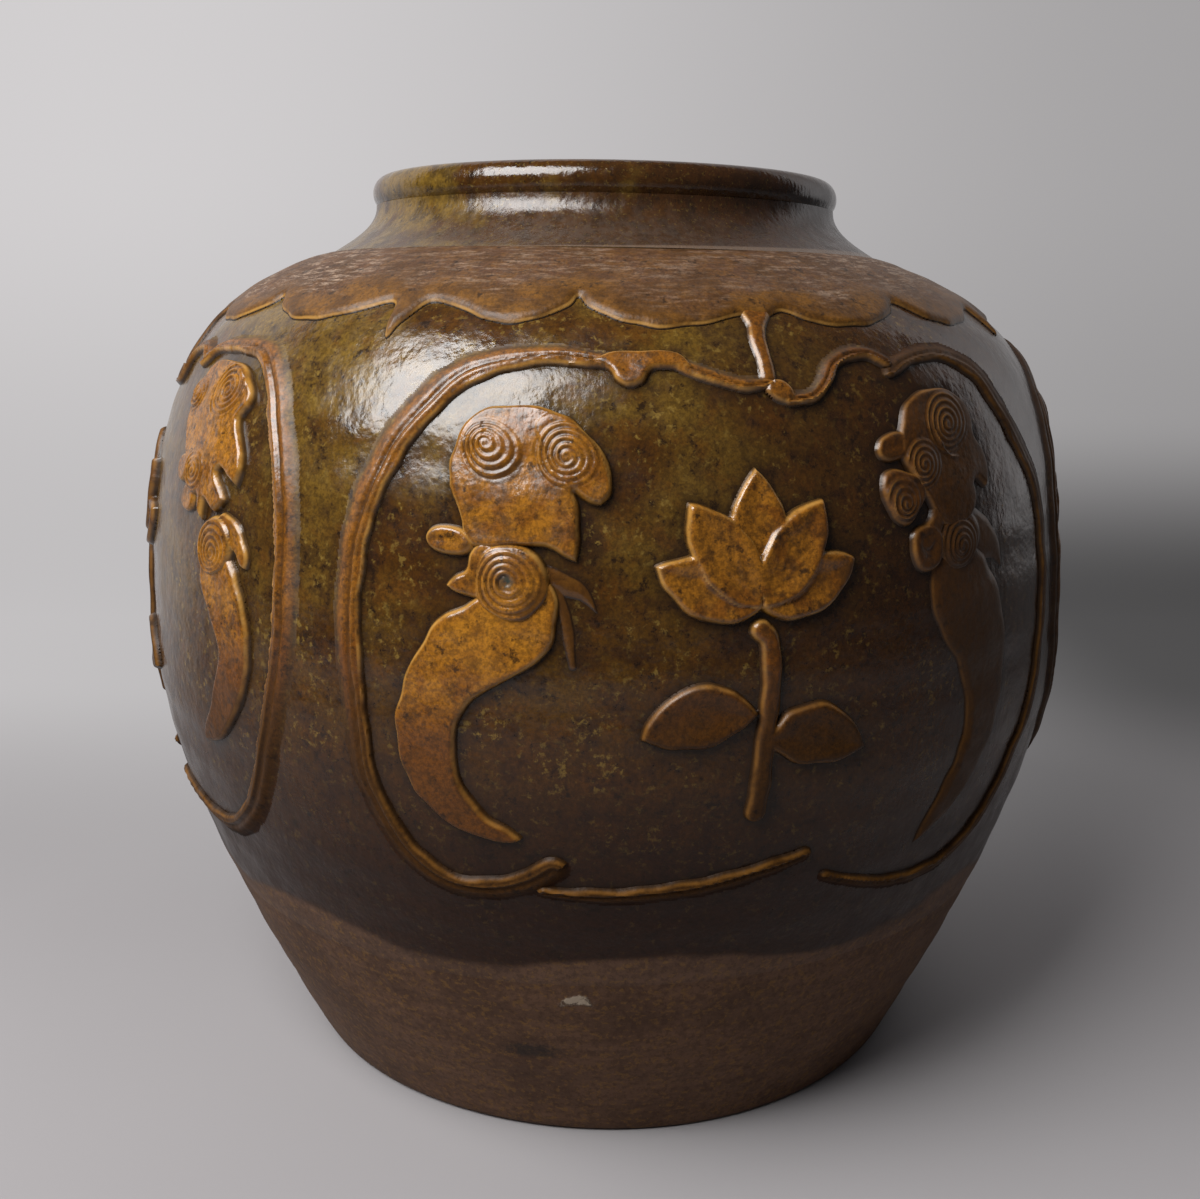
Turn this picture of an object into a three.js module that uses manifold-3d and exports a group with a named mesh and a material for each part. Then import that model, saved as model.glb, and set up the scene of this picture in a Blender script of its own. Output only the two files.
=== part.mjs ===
// A stoneware storage jar with applied clay relief: four framed panels, each with two
// curled dragons facing a lotus, under a scalloped shoulder collar.
// Millimetres, +Z up, origin at the centre of the flat base.

import * as THREE from "three";
import { mergeVertices } from "three/addons/utils/BufferGeometryUtils.js";
import { TessellateModifier } from "three/addons/modifiers/TessellateModifier.js";
import Module from "manifold-3d";

const wasm = await Module();
wasm.setup();

// Heights of the thrown sections, from the base up
const baseSectionHeight = 38;
const lowerBodyHeight = 119;
const upperBodyHeight = 144.6;
const neckHeight = 17.7;
const lipHeight = 10.7;

// Outer radii
const baseRadius = 125.6;
const bellyRadius = 178;
const neckRootRadius = 105.3;
const neckTopRadius = 88.3;
const lipRadius = 89.4;

// How long each end of a wall curve keeps its direction
const baseFlareAngle = 26;
const baseFlareReach = 108.6;
const bellyReachDown = 16;
const bellyReachUp = 128;
const shoulderSlope = 27;
const shoulderReach = 36.6;
const neckRootSlope = 32;
const neckRootReach = 9.2;
const neckTopReach = 7.8;

// Walls
const wallThickness = 9;
const floorThickness = 12;
const floorFillet = 10;
const baseEdgeBevel = 1.5;
const lipRollWidth = 11.4;
const lipCrownHeight = 6.4;

// Panels around the belly
const panelNames = ["front", "right", "back", "left"];
const frontPanelAzimuth = 16.5;
const gapBetweenPanels = 22.6;
const panelTopBelowNeckRoot = 58.5;
const panelDrawnWidth = 257;
const panelDrawnTop = 83;
const drawingUnit = 1;
const rightDragonShift = { front: 0, right: 6, back: 10, left: 15 };

// Clay relief
const frameRollWidth = 6.4;
const frameRollHeight = 3.2;
const rollCrownShare = 0.45;
const rollEndLength = 0.35;
const rollEndShare = 0.45;
const headHeight = 3.4;
const maneHeight = 4.2;
const tailHeight = 3.2;
const lotusHeight = 3.2;
const curlRise = 1.3;
const reliefSlope = 1;
const seatGap = 0.3;
const lutingGap = 0.45;
const reliefSink = 4;

// Shoulder collar
const collarThickness = 2.4;
const collarSeat = 0.6;
const collarTopGap = 1;
const collarDrop = 48.5;
const scallopDepth = 10;
const scallopsPerPanel = 4;
const scallopFullness = 0.7;
const tieWidth = 5;
const tieHeight = 2.8;
const tieAngle = 2;
const tieRootBelowCollar = 4;
const tieSway = 1.2;
const tieGapToFrame = 1.2;

// Lotus
const lotusX = -7;
const lotusBaseY = 8;
const petalCount = 5;
const petalLength = 40;
const petalWidth = 17;
const petalSpread = 33;
const petalShortening = 0.09;
const petalOverlap = 0.5;
const stemGap = 5.5;
const stemSway = 3.4;
const stemFootY = -52;
const rightLeafY = -30;
const leftLeafY = -22;

// Facets
const turns = 40;
const neckSteps = 3;
const lipSteps = 6;
const collarStepsPerScallop = 4;
const collarRows = 3;
const wallStep = 24;
const insideStep = 60;
const rollStep = 25;
const sprigEdge = 34;
const finestPasses = 12;
const petalSteps = 3;
const curlSides = 8;
const weldDistance = 1e-4;

// Finishes
const unglazedStoneware = new THREE.MeshStandardMaterial({ color: 0x4b3a2a, roughness: 0.75, metalness: 0 });
const brownGlaze = new THREE.MeshStandardMaterial({ color: 0x3f2d17, roughness: 0.25, metalness: 0 });
const oliveGlaze = new THREE.MeshStandardMaterial({ color: 0x3b3014, roughness: 0.2, metalness: 0 });
const tanGlaze = new THREE.MeshStandardMaterial({ color: 0x6e4a2a, roughness: 0.45, metalness: 0 });
const amberGlaze = new THREE.MeshStandardMaterial({ color: 0x8a5620, roughness: 0.3, metalness: 0 });

const bellyHeight = baseSectionHeight + lowerBodyHeight;
const neckRootHeight = bellyHeight + upperBodyHeight;
const neckTopHeight = neckRootHeight + neckHeight;
const jarHeight = neckTopHeight + lipHeight;

const degree = Math.PI / 180;

const jar = new THREE.Group();

function addPiece(name, geometry, material) {
  const mesh = new THREE.Mesh(geometry, material);
  mesh.name = name;
  jar.add(mesh);
}

// Solids and booleans

function toSolid(geometry) {
  const bare = geometry.clone();
  bare.deleteAttribute("normal");
  bare.deleteAttribute("uv");
  const welded = mergeVertices(bare, weldDistance);
  const vertProperties = Float32Array.from(welded.attributes.position.array);
  const triVerts = Uint32Array.from(welded.index.array);
  return new wasm.Manifold(new wasm.Mesh({ numProp: 3, vertProperties, triVerts }));
}

function toGeometry(solid) {
  const mesh = solid.getMesh();
  const geometry = new THREE.BufferGeometry();
  geometry.setAttribute("position", new THREE.BufferAttribute(mesh.vertProperties, 3));
  geometry.setIndex(new THREE.BufferAttribute(mesh.triVerts, 1));
  return geometry;
}

function joined(solids) {
  return solids.reduce((whole, solid) => whole.add(solid));
}

// The outer wall, as one curve from the base to the top of the neck.
// Its points are (radius, height).

function wallPoint(radius, height) {
  return new THREE.Vector2(radius, height);
}

function alongSlope(point, angle, reach) {
  return wallPoint(point.x + reach * Math.cos(angle * degree), point.y + reach * Math.sin(angle * degree));
}

const baseEdge = wallPoint(baseRadius, 0);
const belly = wallPoint(bellyRadius, bellyHeight);
const neckRoot = wallPoint(neckRootRadius, neckRootHeight);
const neckTop = wallPoint(neckTopRadius, neckTopHeight);

const lowerWall = new THREE.CubicBezierCurve(
  baseEdge,
  alongSlope(baseEdge, 90 - baseFlareAngle, baseFlareReach),
  wallPoint(bellyRadius, bellyHeight - bellyReachDown),
  belly,
);
const upperWall = new THREE.CubicBezierCurve(
  belly,
  wallPoint(bellyRadius, bellyHeight + bellyReachUp),
  alongSlope(neckRoot, -shoulderSlope, shoulderReach),
  neckRoot,
);
const neckWall = new THREE.CubicBezierCurve(
  neckRoot,
  alongSlope(neckRoot, 180 - neckRootSlope, neckRootReach),
  wallPoint(neckTopRadius, neckTopHeight - neckTopReach),
  neckTop,
);

const lowerLength = lowerWall.getLength();
const upperLength = upperWall.getLength();
const neckRootArc = lowerLength + upperLength;

// The wall at a length measured up from the base edge: its point and its outward normal
function wallAt(arc) {
  const onLower = arc <= lowerLength;
  const curve = onLower ? lowerWall : upperWall;
  const share = onLower ? arc / lowerLength : (arc - lowerLength) / upperLength;
  const t = Math.min(Math.max(share, 0), 1);
  const point = curve.getPointAt(t);
  const along = curve.getTangentAt(t);
  return { point, normal: new THREE.Vector2(along.y, -along.x) };
}

function wallStation(arc, outward) {
  const { point, normal } = wallAt(arc);
  return point.clone().addScaledVector(normal, outward);
}

function arcAtHeight(height) {
  let low = 0;
  let high = neckRootArc;
  for (let halving = 0; halving < 40; halving += 1) {
    const middle = (low + high) / 2;
    if (wallAt(middle).point.y < height) low = middle;
    else high = middle;
  }
  return (low + high) / 2;
}

// Points along the wall between two lengths, moved outward, in so many equal steps
function wallPoints(fromArc, toArc, outward, steps) {
  const points = [];
  for (let i = 0; i <= steps; i += 1) {
    points.push(wallStation(fromArc + ((toArc - fromArc) * i) / steps, outward));
  }
  return points;
}

function wallRun(fromArc, toArc, outward, step) {
  return wallPoints(fromArc, toArc, outward, Math.max(1, Math.round((toArc - fromArc) / step)));
}

function neckRun(outward, count) {
  const points = [];
  for (let i = 0; i <= count; i += 1) {
    const along = neckWall.getTangentAt(i / count);
    const normal = new THREE.Vector2(along.y, -along.x);
    points.push(neckWall.getPointAt(i / count).addScaledVector(normal, outward));
  }
  return points;
}

// A turned piece from its outline, which goes up the outside and down the inside
function turned(outline) {
  const geometry = new THREE.LatheGeometry(outline, turns);
  geometry.rotateX(Math.PI / 2);
  return geometry;
}

function ringOutline(outside, inside) {
  return [...outside, ...inside.slice().reverse(), outside[0]];
}

// The jar's thrown sections, each seated face to face on the one below

const baseJoinArc = arcAtHeight(baseSectionHeight);
const neckInside = neckRun(-wallThickness, 1);
const throatPoint = neckInside[0];

function insideRun(fromArc, toArc) {
  return wallRun(fromArc, toArc, -wallThickness, insideStep);
}

function baseSection() {
  const outside = wallRun(0, baseJoinArc, 0, wallStep);
  outside[0] = wallPoint(baseRadius + baseEdgeBevel * Math.tan(baseFlareAngle * degree), baseEdgeBevel);
  const rim = wallStation(baseJoinArc, -wallThickness);
  const corner = wallStation(arcAtHeight(floorThickness + floorFillet), -wallThickness);
  return turned([
    wallPoint(0, 0),
    wallPoint(baseRadius - baseEdgeBevel, 0),
    ...outside,
    rim,
    corner,
    wallPoint(corner.x - floorFillet, floorThickness),
    wallPoint(0, floorThickness),
  ]);
}

function lowerBody() {
  return turned(ringOutline(wallRun(baseJoinArc, lowerLength, 0, wallStep), insideRun(baseJoinArc, lowerLength)));
}

function upperBody() {
  const inside = insideRun(lowerLength, neckRootArc);
  inside[inside.length - 1] = throatPoint;
  return turned(ringOutline(wallRun(lowerLength, neckRootArc, 0, wallStep), inside));
}

function neck() {
  return turned(ringOutline(neckRun(0, neckSteps), neckInside));
}

function rolledLip() {
  const rollCentre = lipRadius - lipRollWidth / 2;
  const crownBase = jarHeight - lipCrownHeight;
  const crown = new THREE.EllipseCurve(rollCentre, crownBase, lipRollWidth / 2, lipCrownHeight, 0, Math.PI);
  const inner = neckInside[neckInside.length - 1];
  return turned([neckTop, ...crown.getPoints(lipSteps), inner, neckTop]);
}

// Relief is drawn flat, in drawing units across and up from the panel's centre, and then
// pressed round the wall, where the drawing's x runs along the wall and its y up it.

function drawnPoint([x, y]) {
  return new THREE.Vector2(x * drawingUnit, y * drawingUnit);
}

const panelPitch = 360 / panelNames.length;
const panelWidth = (2 * Math.PI * bellyRadius) / panelNames.length - gapBetweenPanels;
const panelStretch = panelWidth / panelDrawnWidth;
const panelCentreArc = neckRootArc - panelTopBelowNeckRoot - panelDrawnTop;

function pressOnWall(geometry, azimuth, centreArc, stretch) {
  const position = geometry.attributes.position;
  for (let i = 0; i < position.count; i += 1) {
    const { point, normal } = wallAt(centreArc + position.getY(i));
    const turn = azimuth * degree + (position.getX(i) * stretch) / point.x;
    const radius = point.x + normal.x * position.getZ(i);
    const height = point.y + normal.y * position.getZ(i);
    position.setXYZ(i, radius * Math.sin(turn), -radius * Math.cos(turn), height);
  }
  return geometry;
}

// The filled jar, grown by the seating gap, which trims the back of every applied piece.
// Its rows of points are those of the thrown sections, so the gap is the same all over.
function wallTrimmer() {
  const outline = [
    ...wallRun(baseJoinArc, lowerLength, seatGap, wallStep),
    ...wallRun(lowerLength, neckRootArc, seatGap, wallStep).slice(1),
  ];
  return toSolid(turned([wallPoint(0, outline[0].y), ...outline, wallPoint(0, outline[outline.length - 1].y)]));
}
const trimmer = wallTrimmer();

function finerFacets(geometry, edge) {
  return new TessellateModifier(edge, finestPasses).modify(geometry);
}

function seated(flatSolid, panelIndex) {
  const flat = finerFacets(toGeometry(flatSolid), sprigEdge);
  const azimuth = frontPanelAzimuth + panelIndex * panelPitch;
  const bent = pressOnWall(flat, azimuth, panelCentreArc, panelStretch);
  return toGeometry(toSolid(bent).subtract(trimmer));
}

// A flat pad of clay with sloping edges, cut to an outline
function sprig(outline, height, fineness = 1) {
  const geometry = new THREE.ExtrudeGeometry(outline, {
    depth: reliefSink,
    curveSegments: fineness,
    bevelThickness: height,
    bevelSize: reliefSlope,
    bevelOffset: -reliefSlope,
    bevelSegments: 1,
  });
  geometry.translate(0, 0, -reliefSink);
  return toSolid(geometry);
}

// The space that a pad takes up, grown by the luting gap, for trimming what lies against it
function sprigSpace(outline, fineness = 1) {
  const tall = 4 * reliefSink;
  const geometry = new THREE.ExtrudeGeometry(outline, {
    depth: 2 * tall,
    curveSegments: fineness,
    bevelThickness: 1,
    bevelSize: 0,
    bevelOffset: lutingGap,
    bevelSegments: 1,
  });
  geometry.translate(0, 0, -tall);
  return toSolid(geometry);
}

// A hand-rolled strip of clay along a flat route of points, with narrowed ends
function clayRoll(route, width, height, grown = 0) {
  const curve = new THREE.SplineCurve(route);
  const length = curve.getLength();
  const half = width / 2 + grown;
  const crown = rollCrownShare * half;
  const foot = half + ((half - crown) * reliefSink) / height;
  const section = [
    [-foot, -reliefSink],
    [-crown, height + grown],
    [crown, height + grown],
    [foot, -reliefSink],
  ];
  const steps = Math.max(2, Math.round(length / rollStep));
  const ends = rollEndLength * width;
  const stops = [[-grown, rollEndShare]];
  for (let i = 0; i <= steps; i += 1) {
    stops.push([ends + ((length - 2 * ends) * i) / steps, 1]);
  }
  stops.push([length + grown, rollEndShare]);
  const vertices = [];
  for (const [distance, share] of stops) {
    const t = Math.min(Math.max(distance / length, 0), 1);
    const along = curve.getTangentAt(t);
    const at = curve.getPointAt(t).addScaledVector(along, distance - t * length);
    for (const [side, up] of section) {
      const lift = up > 0 ? (up * (1 + share)) / 2 : up;
      vertices.push(at.x - along.y * side * share, at.y + along.x * side * share, lift);
    }
  }
  return toSolid(loftedGeometry(vertices, stops.length, section.length));
}

// A closed loft through rings of points, with a fan across each end
function loftedGeometry(vertices, ringCount, ringSize) {
  const faces = [];
  for (let ring = 0; ring < ringCount - 1; ring += 1) {
    for (let i = 0; i < ringSize; i += 1) {
      const a = ring * ringSize + i;
      const b = ring * ringSize + ((i + 1) % ringSize);
      faces.push(a, a + ringSize, b, b, a + ringSize, b + ringSize);
    }
  }
  const last = (ringCount - 1) * ringSize;
  for (let i = 1; i < ringSize - 1; i += 1) {
    faces.push(0, i, i + 1);
    faces.push(last, last + i + 1, last + i);
  }
  const geometry = new THREE.BufferGeometry();
  geometry.setAttribute("position", new THREE.Float32BufferAttribute(vertices, 3));
  geometry.setIndex(faces);
  return geometry;
}

// A coiled curl on top of a pad: a low cone, at a drawn place with drawn radii
function curl([x, y, radiusX, radiusY], padHeight) {
  const profile = [
    wallPoint(0, padHeight - 1),
    wallPoint(1, padHeight - 1),
    wallPoint(0, padHeight + curlRise),
  ];
  const geometry = new THREE.LatheGeometry(profile, curlSides);
  geometry.rotateX(Math.PI / 2);
  geometry.scale(radiusX * drawingUnit, radiusY * drawingUnit, 1);
  geometry.translate(x * drawingUnit, y * drawingUnit, 0);
  return toSolid(geometry);
}

// An outline made of smooth stretches that meet at corners
function cutOutline(start, stretches) {
  const outline = new THREE.Shape();
  const first = drawnPoint(start);
  outline.moveTo(first.x, first.y);
  for (const stretch of stretches) {
    outline.splineThru(stretch.map(drawnPoint));
  }
  return outline;
}

// The panel's frame: rolls of clay laid end to end, with a rolling crest at the top

const frameRoutes = {
  crest_left: [[-44.5, 78], [-41, 72.4], [-36, 75], [-31, 81.6], [-23, 80.5], [-10, 74.6], [0.4, 75.6]],
  crest_right: [[3.4, 70.6], [8.4, 67.6], [13.6, 71.2], [20, 78.6], [30, 80.6], [41.8, 77]],
  left_arc: [[-49.6, 81], [-73, 81], [-97.5, 68], [-114.5, 48.5], [-125.5, 21.5], [-128.5, -7],
    [-126, -37], [-113, -65.5], [-97, -78], [-80.5, -78], [-65.5, -71.5]],
  right_arc: [[44, 78], [62, 82.6], [79, 77.6], [97.5, 62.5], [115, 43], [126, 19], [128.5, -6],
    [123, -31], [112, -54], [94, -76], [72, -86], [46, -87], [21, -81.5]],
  bottom: [[-67, -79], [-47, -80.6], [-23, -79], [-4, -75.2], [12.5, -70.4]],
};

const frameLaps = { left_arc: ["crest_left"], right_arc: ["crest_right"], bottom: ["left_arc"] };

function frameRoll(name, grown = 0) {
  return clayRoll(frameRoutes[name].map(drawnPoint), frameRollWidth, frameRollHeight, grown);
}

function framePiece(name) {
  const over = frameLaps[name] ?? [];
  return over.reduce((piece, lap) => piece.subtract(frameRoll(lap, lutingGap)), frameRoll(name));
}

// The left dragon: a curled head, a mane of locks round a third curl, and a crescent tail

const leftHeadOutline = cutOutline([-90, 33], [
  [[-93.8, 44], [-88, 58.5], [-77, 65.6], [-63.5, 65.6], [-51, 57], [-47, 47], [-51, 38.4]],
  [[-57.6, 41.4]],
  [[-57.4, 34], [-59.3, 22.2]],
  [[-64, 26], [-70, 28.5], [-80, 31], [-90, 33]],
]);
const leftManeOutline = cutOutline([-86, 29.5], [
  [[-94, 32.6], [-100.6, 29.5], [-99.4, 25.6], [-90.5, 22.4]],
  [[-95.6, 16.2], [-92.6, 12.4], [-86.4, 11.6]],
  [[-83, 8.6], [-77.5, 7.6], [-70.6, 10.6], [-67.6, 17.4], [-70.8, 24.6], [-78, 27.8], [-86, 29.5]],
]);
const leftTailOutline = cutOutline([-90, 10], [
  [[-101.5, 1.4], [-110, -12], [-113, -27], [-109.4, -42], [-99, -53.6], [-86, -60.4], [-74.5, -61]],
  [[-82, -53.6], [-91, -46], [-95, -35], [-92.4, -22], [-84.5, -12.4], [-73.5, -8.4], [-65.6, 0],
    [-63.4, 10], [-67, 20]],
  [[-78, 20], [-90, 10]],
]);

// The right dragon: its head looks back over a rolled lock, and its tail bows outward

const rightHeadOutline = cutOutline([42.4, 56.4], [
  [[46.4, 64.2], [54, 68.6], [64, 69], [72.6, 65.4], [75.4, 56], [80.4, 48.6], [78.8, 35]],
  [[73, 39.6], [66, 37.6], [60, 30], [50, 38], [43.2, 46]],
  [[37.4, 46.6], [34.6, 51.4], [37.6, 56], [42.4, 56.4]],
]);
const rightManeOutline = cutOutline([35.6, 42.6], [
  [[34.2, 35.6], [38.6, 28.6], [44.4, 28.2], [49.4, 31]],
  [[45.8, 24.6], [47, 17.6], [52.6, 14.8], [58, 16]],
  [[64, 12.4], [71.6, 13.8], [75.8, 21], [72.4, 28.4], [64.4, 30.6], [57, 31], [50.4, 36.6], [43, 43.6],
    [35.6, 42.6]],
]);
const rightTailOutline = cutOutline([55, 18], [
  [[54.6, 6], [60, -5], [68, -18], [71.6, -36], [66.6, -52], [60, -65], [54.5, -77]],
  [[69, -68.5], [82, -55], [91, -36], [93.4, -16], [89, 2], [80, 16]],
  [[68, 20], [55, 18]],
]);

function shifted(solid, across) {
  return solid.translate([across * drawingUnit, 0, 0]);
}

function dragonPieces(head, mane, tail, headCurls, maneCurls) {
  const maneSpace = sprigSpace(mane);
  const headPad = sprig(head, headHeight).subtract(maneSpace);
  const manePad = sprig(mane, maneHeight);
  return {
    head: joined([headPad, ...headCurls.map((place) => curl(place, headHeight))]),
    mane: joined([manePad, ...maneCurls.map((place) => curl(place, maneHeight))]),
    tail: sprig(tail, tailHeight).subtract(maneSpace),
  };
}

const leftDragon = dragonPieces(
  leftHeadOutline,
  leftManeOutline,
  leftTailOutline,
  [[-81.6, 54.6, 7.6, 7.6], [-60, 51, 7.8, 8.2]],
  [[-77.8, 17.6, 8, 8]],
);
const rightDragon = dragonPieces(
  rightHeadOutline,
  rightManeOutline,
  rightTailOutline,
  [[64, 59.6, 7.4, 7.6], [52.6, 48, 6.4, 7.8]],
  [[41.6, 36, 5.4, 5.8], [66.4, 21.6, 6.8, 6.8]],
);

// The lotus between the dragons

function petalOutline(length, width) {
  const half = width / 2;
  const petal = new THREE.Shape();
  petal.moveTo(0, 0);
  petal.bezierCurveTo(half * 1.5, length * 0.25, half * 1.3, length * 0.75, 0, length);
  petal.bezierCurveTo(-half * 1.3, length * 0.75, -half * 1.5, length * 0.25, 0, 0);
  return petal;
}

function fannedPetal(index) {
  const fromMiddle = index - (petalCount - 1) / 2;
  const length = petalLength * (1 - petalShortening * Math.abs(fromMiddle));
  const height = lotusHeight + petalOverlap * (Math.abs(fromMiddle) % 2);
  return sprig(petalOutline(length, petalWidth), height, petalSteps)
    .rotate([0, 0, -fromMiddle * petalSpread])
    .translate([lotusX, lotusBaseY, 0]);
}

function lotusBloom() {
  const petals = Array.from({ length: petalCount }, (_, index) => fannedPetal(index));
  return joined(petals);
}

const leafOutline = cutOutline([0, 0], [
  [[9, 8], [20, 9.6], [30, 3.4], [35, -6]],
  [[25, -9], [12, -8], [0, 0]],
]);

function lotusLeaves() {
  const stemRoute = [
    new THREE.Vector2(lotusX, lotusBaseY - stemGap),
    new THREE.Vector2(lotusX + stemSway, (lotusBaseY + leftLeafY) / 2),
    new THREE.Vector2(lotusX, stemFootY),
  ];
  const stem = clayRoll(stemRoute, frameRollWidth, lotusHeight);
  const rightLeaf = sprig(leafOutline, lotusHeight).translate([lotusX, rightLeafY, 0]);
  const leftLeaf = sprig(leafOutline, lotusHeight).mirror([1, 0, 0]).translate([lotusX, leftLeafY, 0]);
  return joined([stem, rightLeaf, leftLeaf]);
}

// The scalloped collar round the shoulder, with one tie per panel hanging from it

function collarEdge(turn) {
  const fromPanel = (turn - frontPanelAzimuth - tieAngle) / panelPitch;
  const phase = fromPanel * scallopsPerPanel;
  const inScallop = phase - Math.floor(phase);
  return neckRootArc - collarDrop + scallopDepth * (1 - Math.sin(Math.PI * inScallop) ** scallopFullness);
}

function shoulderCollar() {
  const steps = panelNames.length * scallopsPerPanel * collarStepsPerScallop;
  const top = neckRootArc - collarTopGap;
  const vertices = [];
  const start = frontPanelAzimuth + tieAngle;
  for (let i = 0; i < steps; i += 1) {
    const turn = start + (360 * i) / steps;
    const edge = collarEdge(turn);
    const ring = [
      ...wallPoints(edge, top, collarSeat, collarRows),
      ...wallPoints(edge, top, collarThickness, collarRows).reverse(),
    ];
    for (const { x, y } of ring) {
      vertices.push(x * Math.sin(turn * degree), -x * Math.cos(turn * degree), y);
    }
  }
  return toSolid(hoopGeometry(vertices, steps, 2 * (collarRows + 1)));
}

// A closed hoop through rings of points
function hoopGeometry(vertices, ringCount, ringSize) {
  const faces = [];
  for (let ring = 0; ring < ringCount; ring += 1) {
    const next = (ring + 1) % ringCount;
    for (let i = 0; i < ringSize; i += 1) {
      const j = (i + 1) % ringSize;
      const a = ring * ringSize + i;
      const b = ring * ringSize + j;
      const c = next * ringSize + i;
      const d = next * ringSize + j;
      faces.push(a, b, c, b, d, c);
    }
  }
  const geometry = new THREE.BufferGeometry();
  geometry.setAttribute("position", new THREE.Float32BufferAttribute(vertices, 3));
  geometry.setIndex(faces);
  return geometry;
}

function collarTie(panelIndex) {
  const crestEnd = drawnPoint(frameRoutes.crest_left[frameRoutes.crest_left.length - 1]);
  const upper = neckRootArc - collarDrop + scallopDepth + tieRootBelowCollar - panelCentreArc;
  const lower = crestEnd.y + frameRollWidth / 2 + tieGapToFrame;
  const radius = wallAt(panelCentreArc + upper).point.x;
  const x = (tieAngle * degree * radius) / panelStretch;
  const route = [new THREE.Vector2(x, upper), new THREE.Vector2(x - tieSway, lower)];
  const flat = finerFacets(toGeometry(clayRoll(route, tieWidth, tieHeight)), sprigEdge);
  const azimuth = frontPanelAzimuth + panelIndex * panelPitch;
  return toSolid(pressOnWall(flat, azimuth, panelCentreArc, panelStretch)).subtract(trimmer);
}

function collarWithTies() {
  const ties = panelNames.map((_, index) => collarTie(index));
  return toGeometry(joined([shoulderCollar(), ...ties]));
}

addPiece("base_section", baseSection(), unglazedStoneware);
addPiece("lower_body", lowerBody(), brownGlaze);
addPiece("upper_body", upperBody(), brownGlaze);
addPiece("neck", neck(), oliveGlaze);
addPiece("rolled_lip", rolledLip(), oliveGlaze);
addPiece("shoulder_collar", collarWithTies(), tanGlaze);

panelNames.forEach((panel, index) => {
  for (const roll of Object.keys(frameRoutes)) {
    addPiece(`${panel}_frame_${roll}`, seated(framePiece(roll), index), amberGlaze);
  }
  for (const [part, solid] of Object.entries(leftDragon)) {
    addPiece(`${panel}_left_dragon_${part}`, seated(solid, index), amberGlaze);
  }
  for (const [part, solid] of Object.entries(rightDragon)) {
    const placed = shifted(solid, rightDragonShift[panel]);
    addPiece(`${panel}_right_dragon_${part}`, seated(placed, index), amberGlaze);
  }
  addPiece(`${panel}_lotus_bloom`, seated(lotusBloom(), index), amberGlaze);
  addPiece(`${panel}_lotus_leaves`, seated(lotusLeaves(), index), amberGlaze);
});

export default jar;
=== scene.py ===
# A glazed stoneware storage jar with applied clay relief, in a plain studio.
# Shapes are worked out in millimetres and become metres when a mesh is made. Turn is the angle
# round the jar, 0 towards the camera and growing to the right. Arc is the length up the outer
# wall from the base edge. Relief is drawn flat, across and up from its panel's centre.

import math

import bpy
import numpy as np
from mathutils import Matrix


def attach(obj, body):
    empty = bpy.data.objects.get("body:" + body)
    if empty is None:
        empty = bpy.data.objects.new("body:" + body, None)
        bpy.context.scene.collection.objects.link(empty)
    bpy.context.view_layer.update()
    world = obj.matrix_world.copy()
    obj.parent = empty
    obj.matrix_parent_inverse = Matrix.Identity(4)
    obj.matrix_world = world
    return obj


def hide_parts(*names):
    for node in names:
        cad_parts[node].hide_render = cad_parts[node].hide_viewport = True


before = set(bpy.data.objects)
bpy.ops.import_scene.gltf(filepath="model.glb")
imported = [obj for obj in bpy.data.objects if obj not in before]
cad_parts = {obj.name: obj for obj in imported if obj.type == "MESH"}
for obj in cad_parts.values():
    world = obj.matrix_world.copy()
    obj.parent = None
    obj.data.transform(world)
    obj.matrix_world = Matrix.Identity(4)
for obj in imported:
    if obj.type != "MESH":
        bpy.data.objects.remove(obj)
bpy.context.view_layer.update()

MM = 0.001

# The outer wall, as (radius, height)
LOWER_WALL = [(125.6, 0), (173.2, 97.6), (178, 141), (178, 157)]
UPPER_WALL = [(178, 157), (178, 285), (137.9, 285), (105.3, 301.6)]
NECK_WALL = [(105.3, 301.6), (97.5, 306.5), (88.3, 311.5), (88.3, 319.3)]
BASE_SECTION_TOP = 38
WALL_THICKNESS = 9
FLOOR_THICKNESS = 12
FLOOR_FILLET = 10
BASE_BEVEL = 1.5
LIP_RADIUS = 89.4
LIP_WIDTH = 11.4
LIP_CROWN = 6.4
LIP_TOP = 330
ROLL_FROM = -0.42
RIM_TILT = 0.014
TILT_FROM, TILT_TO = 262, 300
# The joins are square to the sloping wall, so the base section's is higher inside
INNER_JOIN_RISE = 3.6
# The rings of the floor and the foot stop this near the axis
AXIS_HOLE = 0.01

# Panels
PANELS = {"front": 16.5, "right": 106.5, "back": 196.5, "left": 286.5}
PANEL_CENTRE_ARC = 201.5
RIGHT_DRAGON_SHIFT = {"front": 0, "right": 6, "back": 10, "left": 0}

# Two directions round the jar, in degrees, where the relief is made darker: the jar's right side,
# away from the key lamp, as painted shade, and the outer half of the left panel, where it fired darker
SHADED_SIDE = 78
DARK_SIDE = -95

# Clay relief
HEAD_HEIGHT = 2.6
MANE_HEIGHT = 3.0
TAIL_HEIGHT = 2.2
LOTUS_HEIGHT = 2.4
FRAME_HEIGHT = 2.2
COLLAR_HEIGHT = 1.7
PAD_EDGE = 1.8
CURL_RELIEF = 0.55
CURL_DOME = 0.8
# The halo: the wall made darker beside the relief, partly glaze pooled there and partly painted contact
# shade
HALO_WIDTH = 2.0
HALO_STRENGTH = 0.85
# How far each sheet of relief runs on past its outline, and how far it may sink into the wall
SKIRT = 0.9
DEEPEST = -1.5

# Mesh fineness
COLUMNS = 720
WALL_STEP = 1.5
INNER_STEP = 12
POINTS_AT_ONCE = 4000
FINE_STEP = 0.42
PLAIN_STEP = 0.6
SPLINE_STEPS = 8
SHARP_ANGLE = math.radians(50)


def smoothstep(value, low, high):
    t = np.clip((value - low) / (high - low), 0, 1)
    return t * t * (3 - 2 * t)


# The wall

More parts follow.
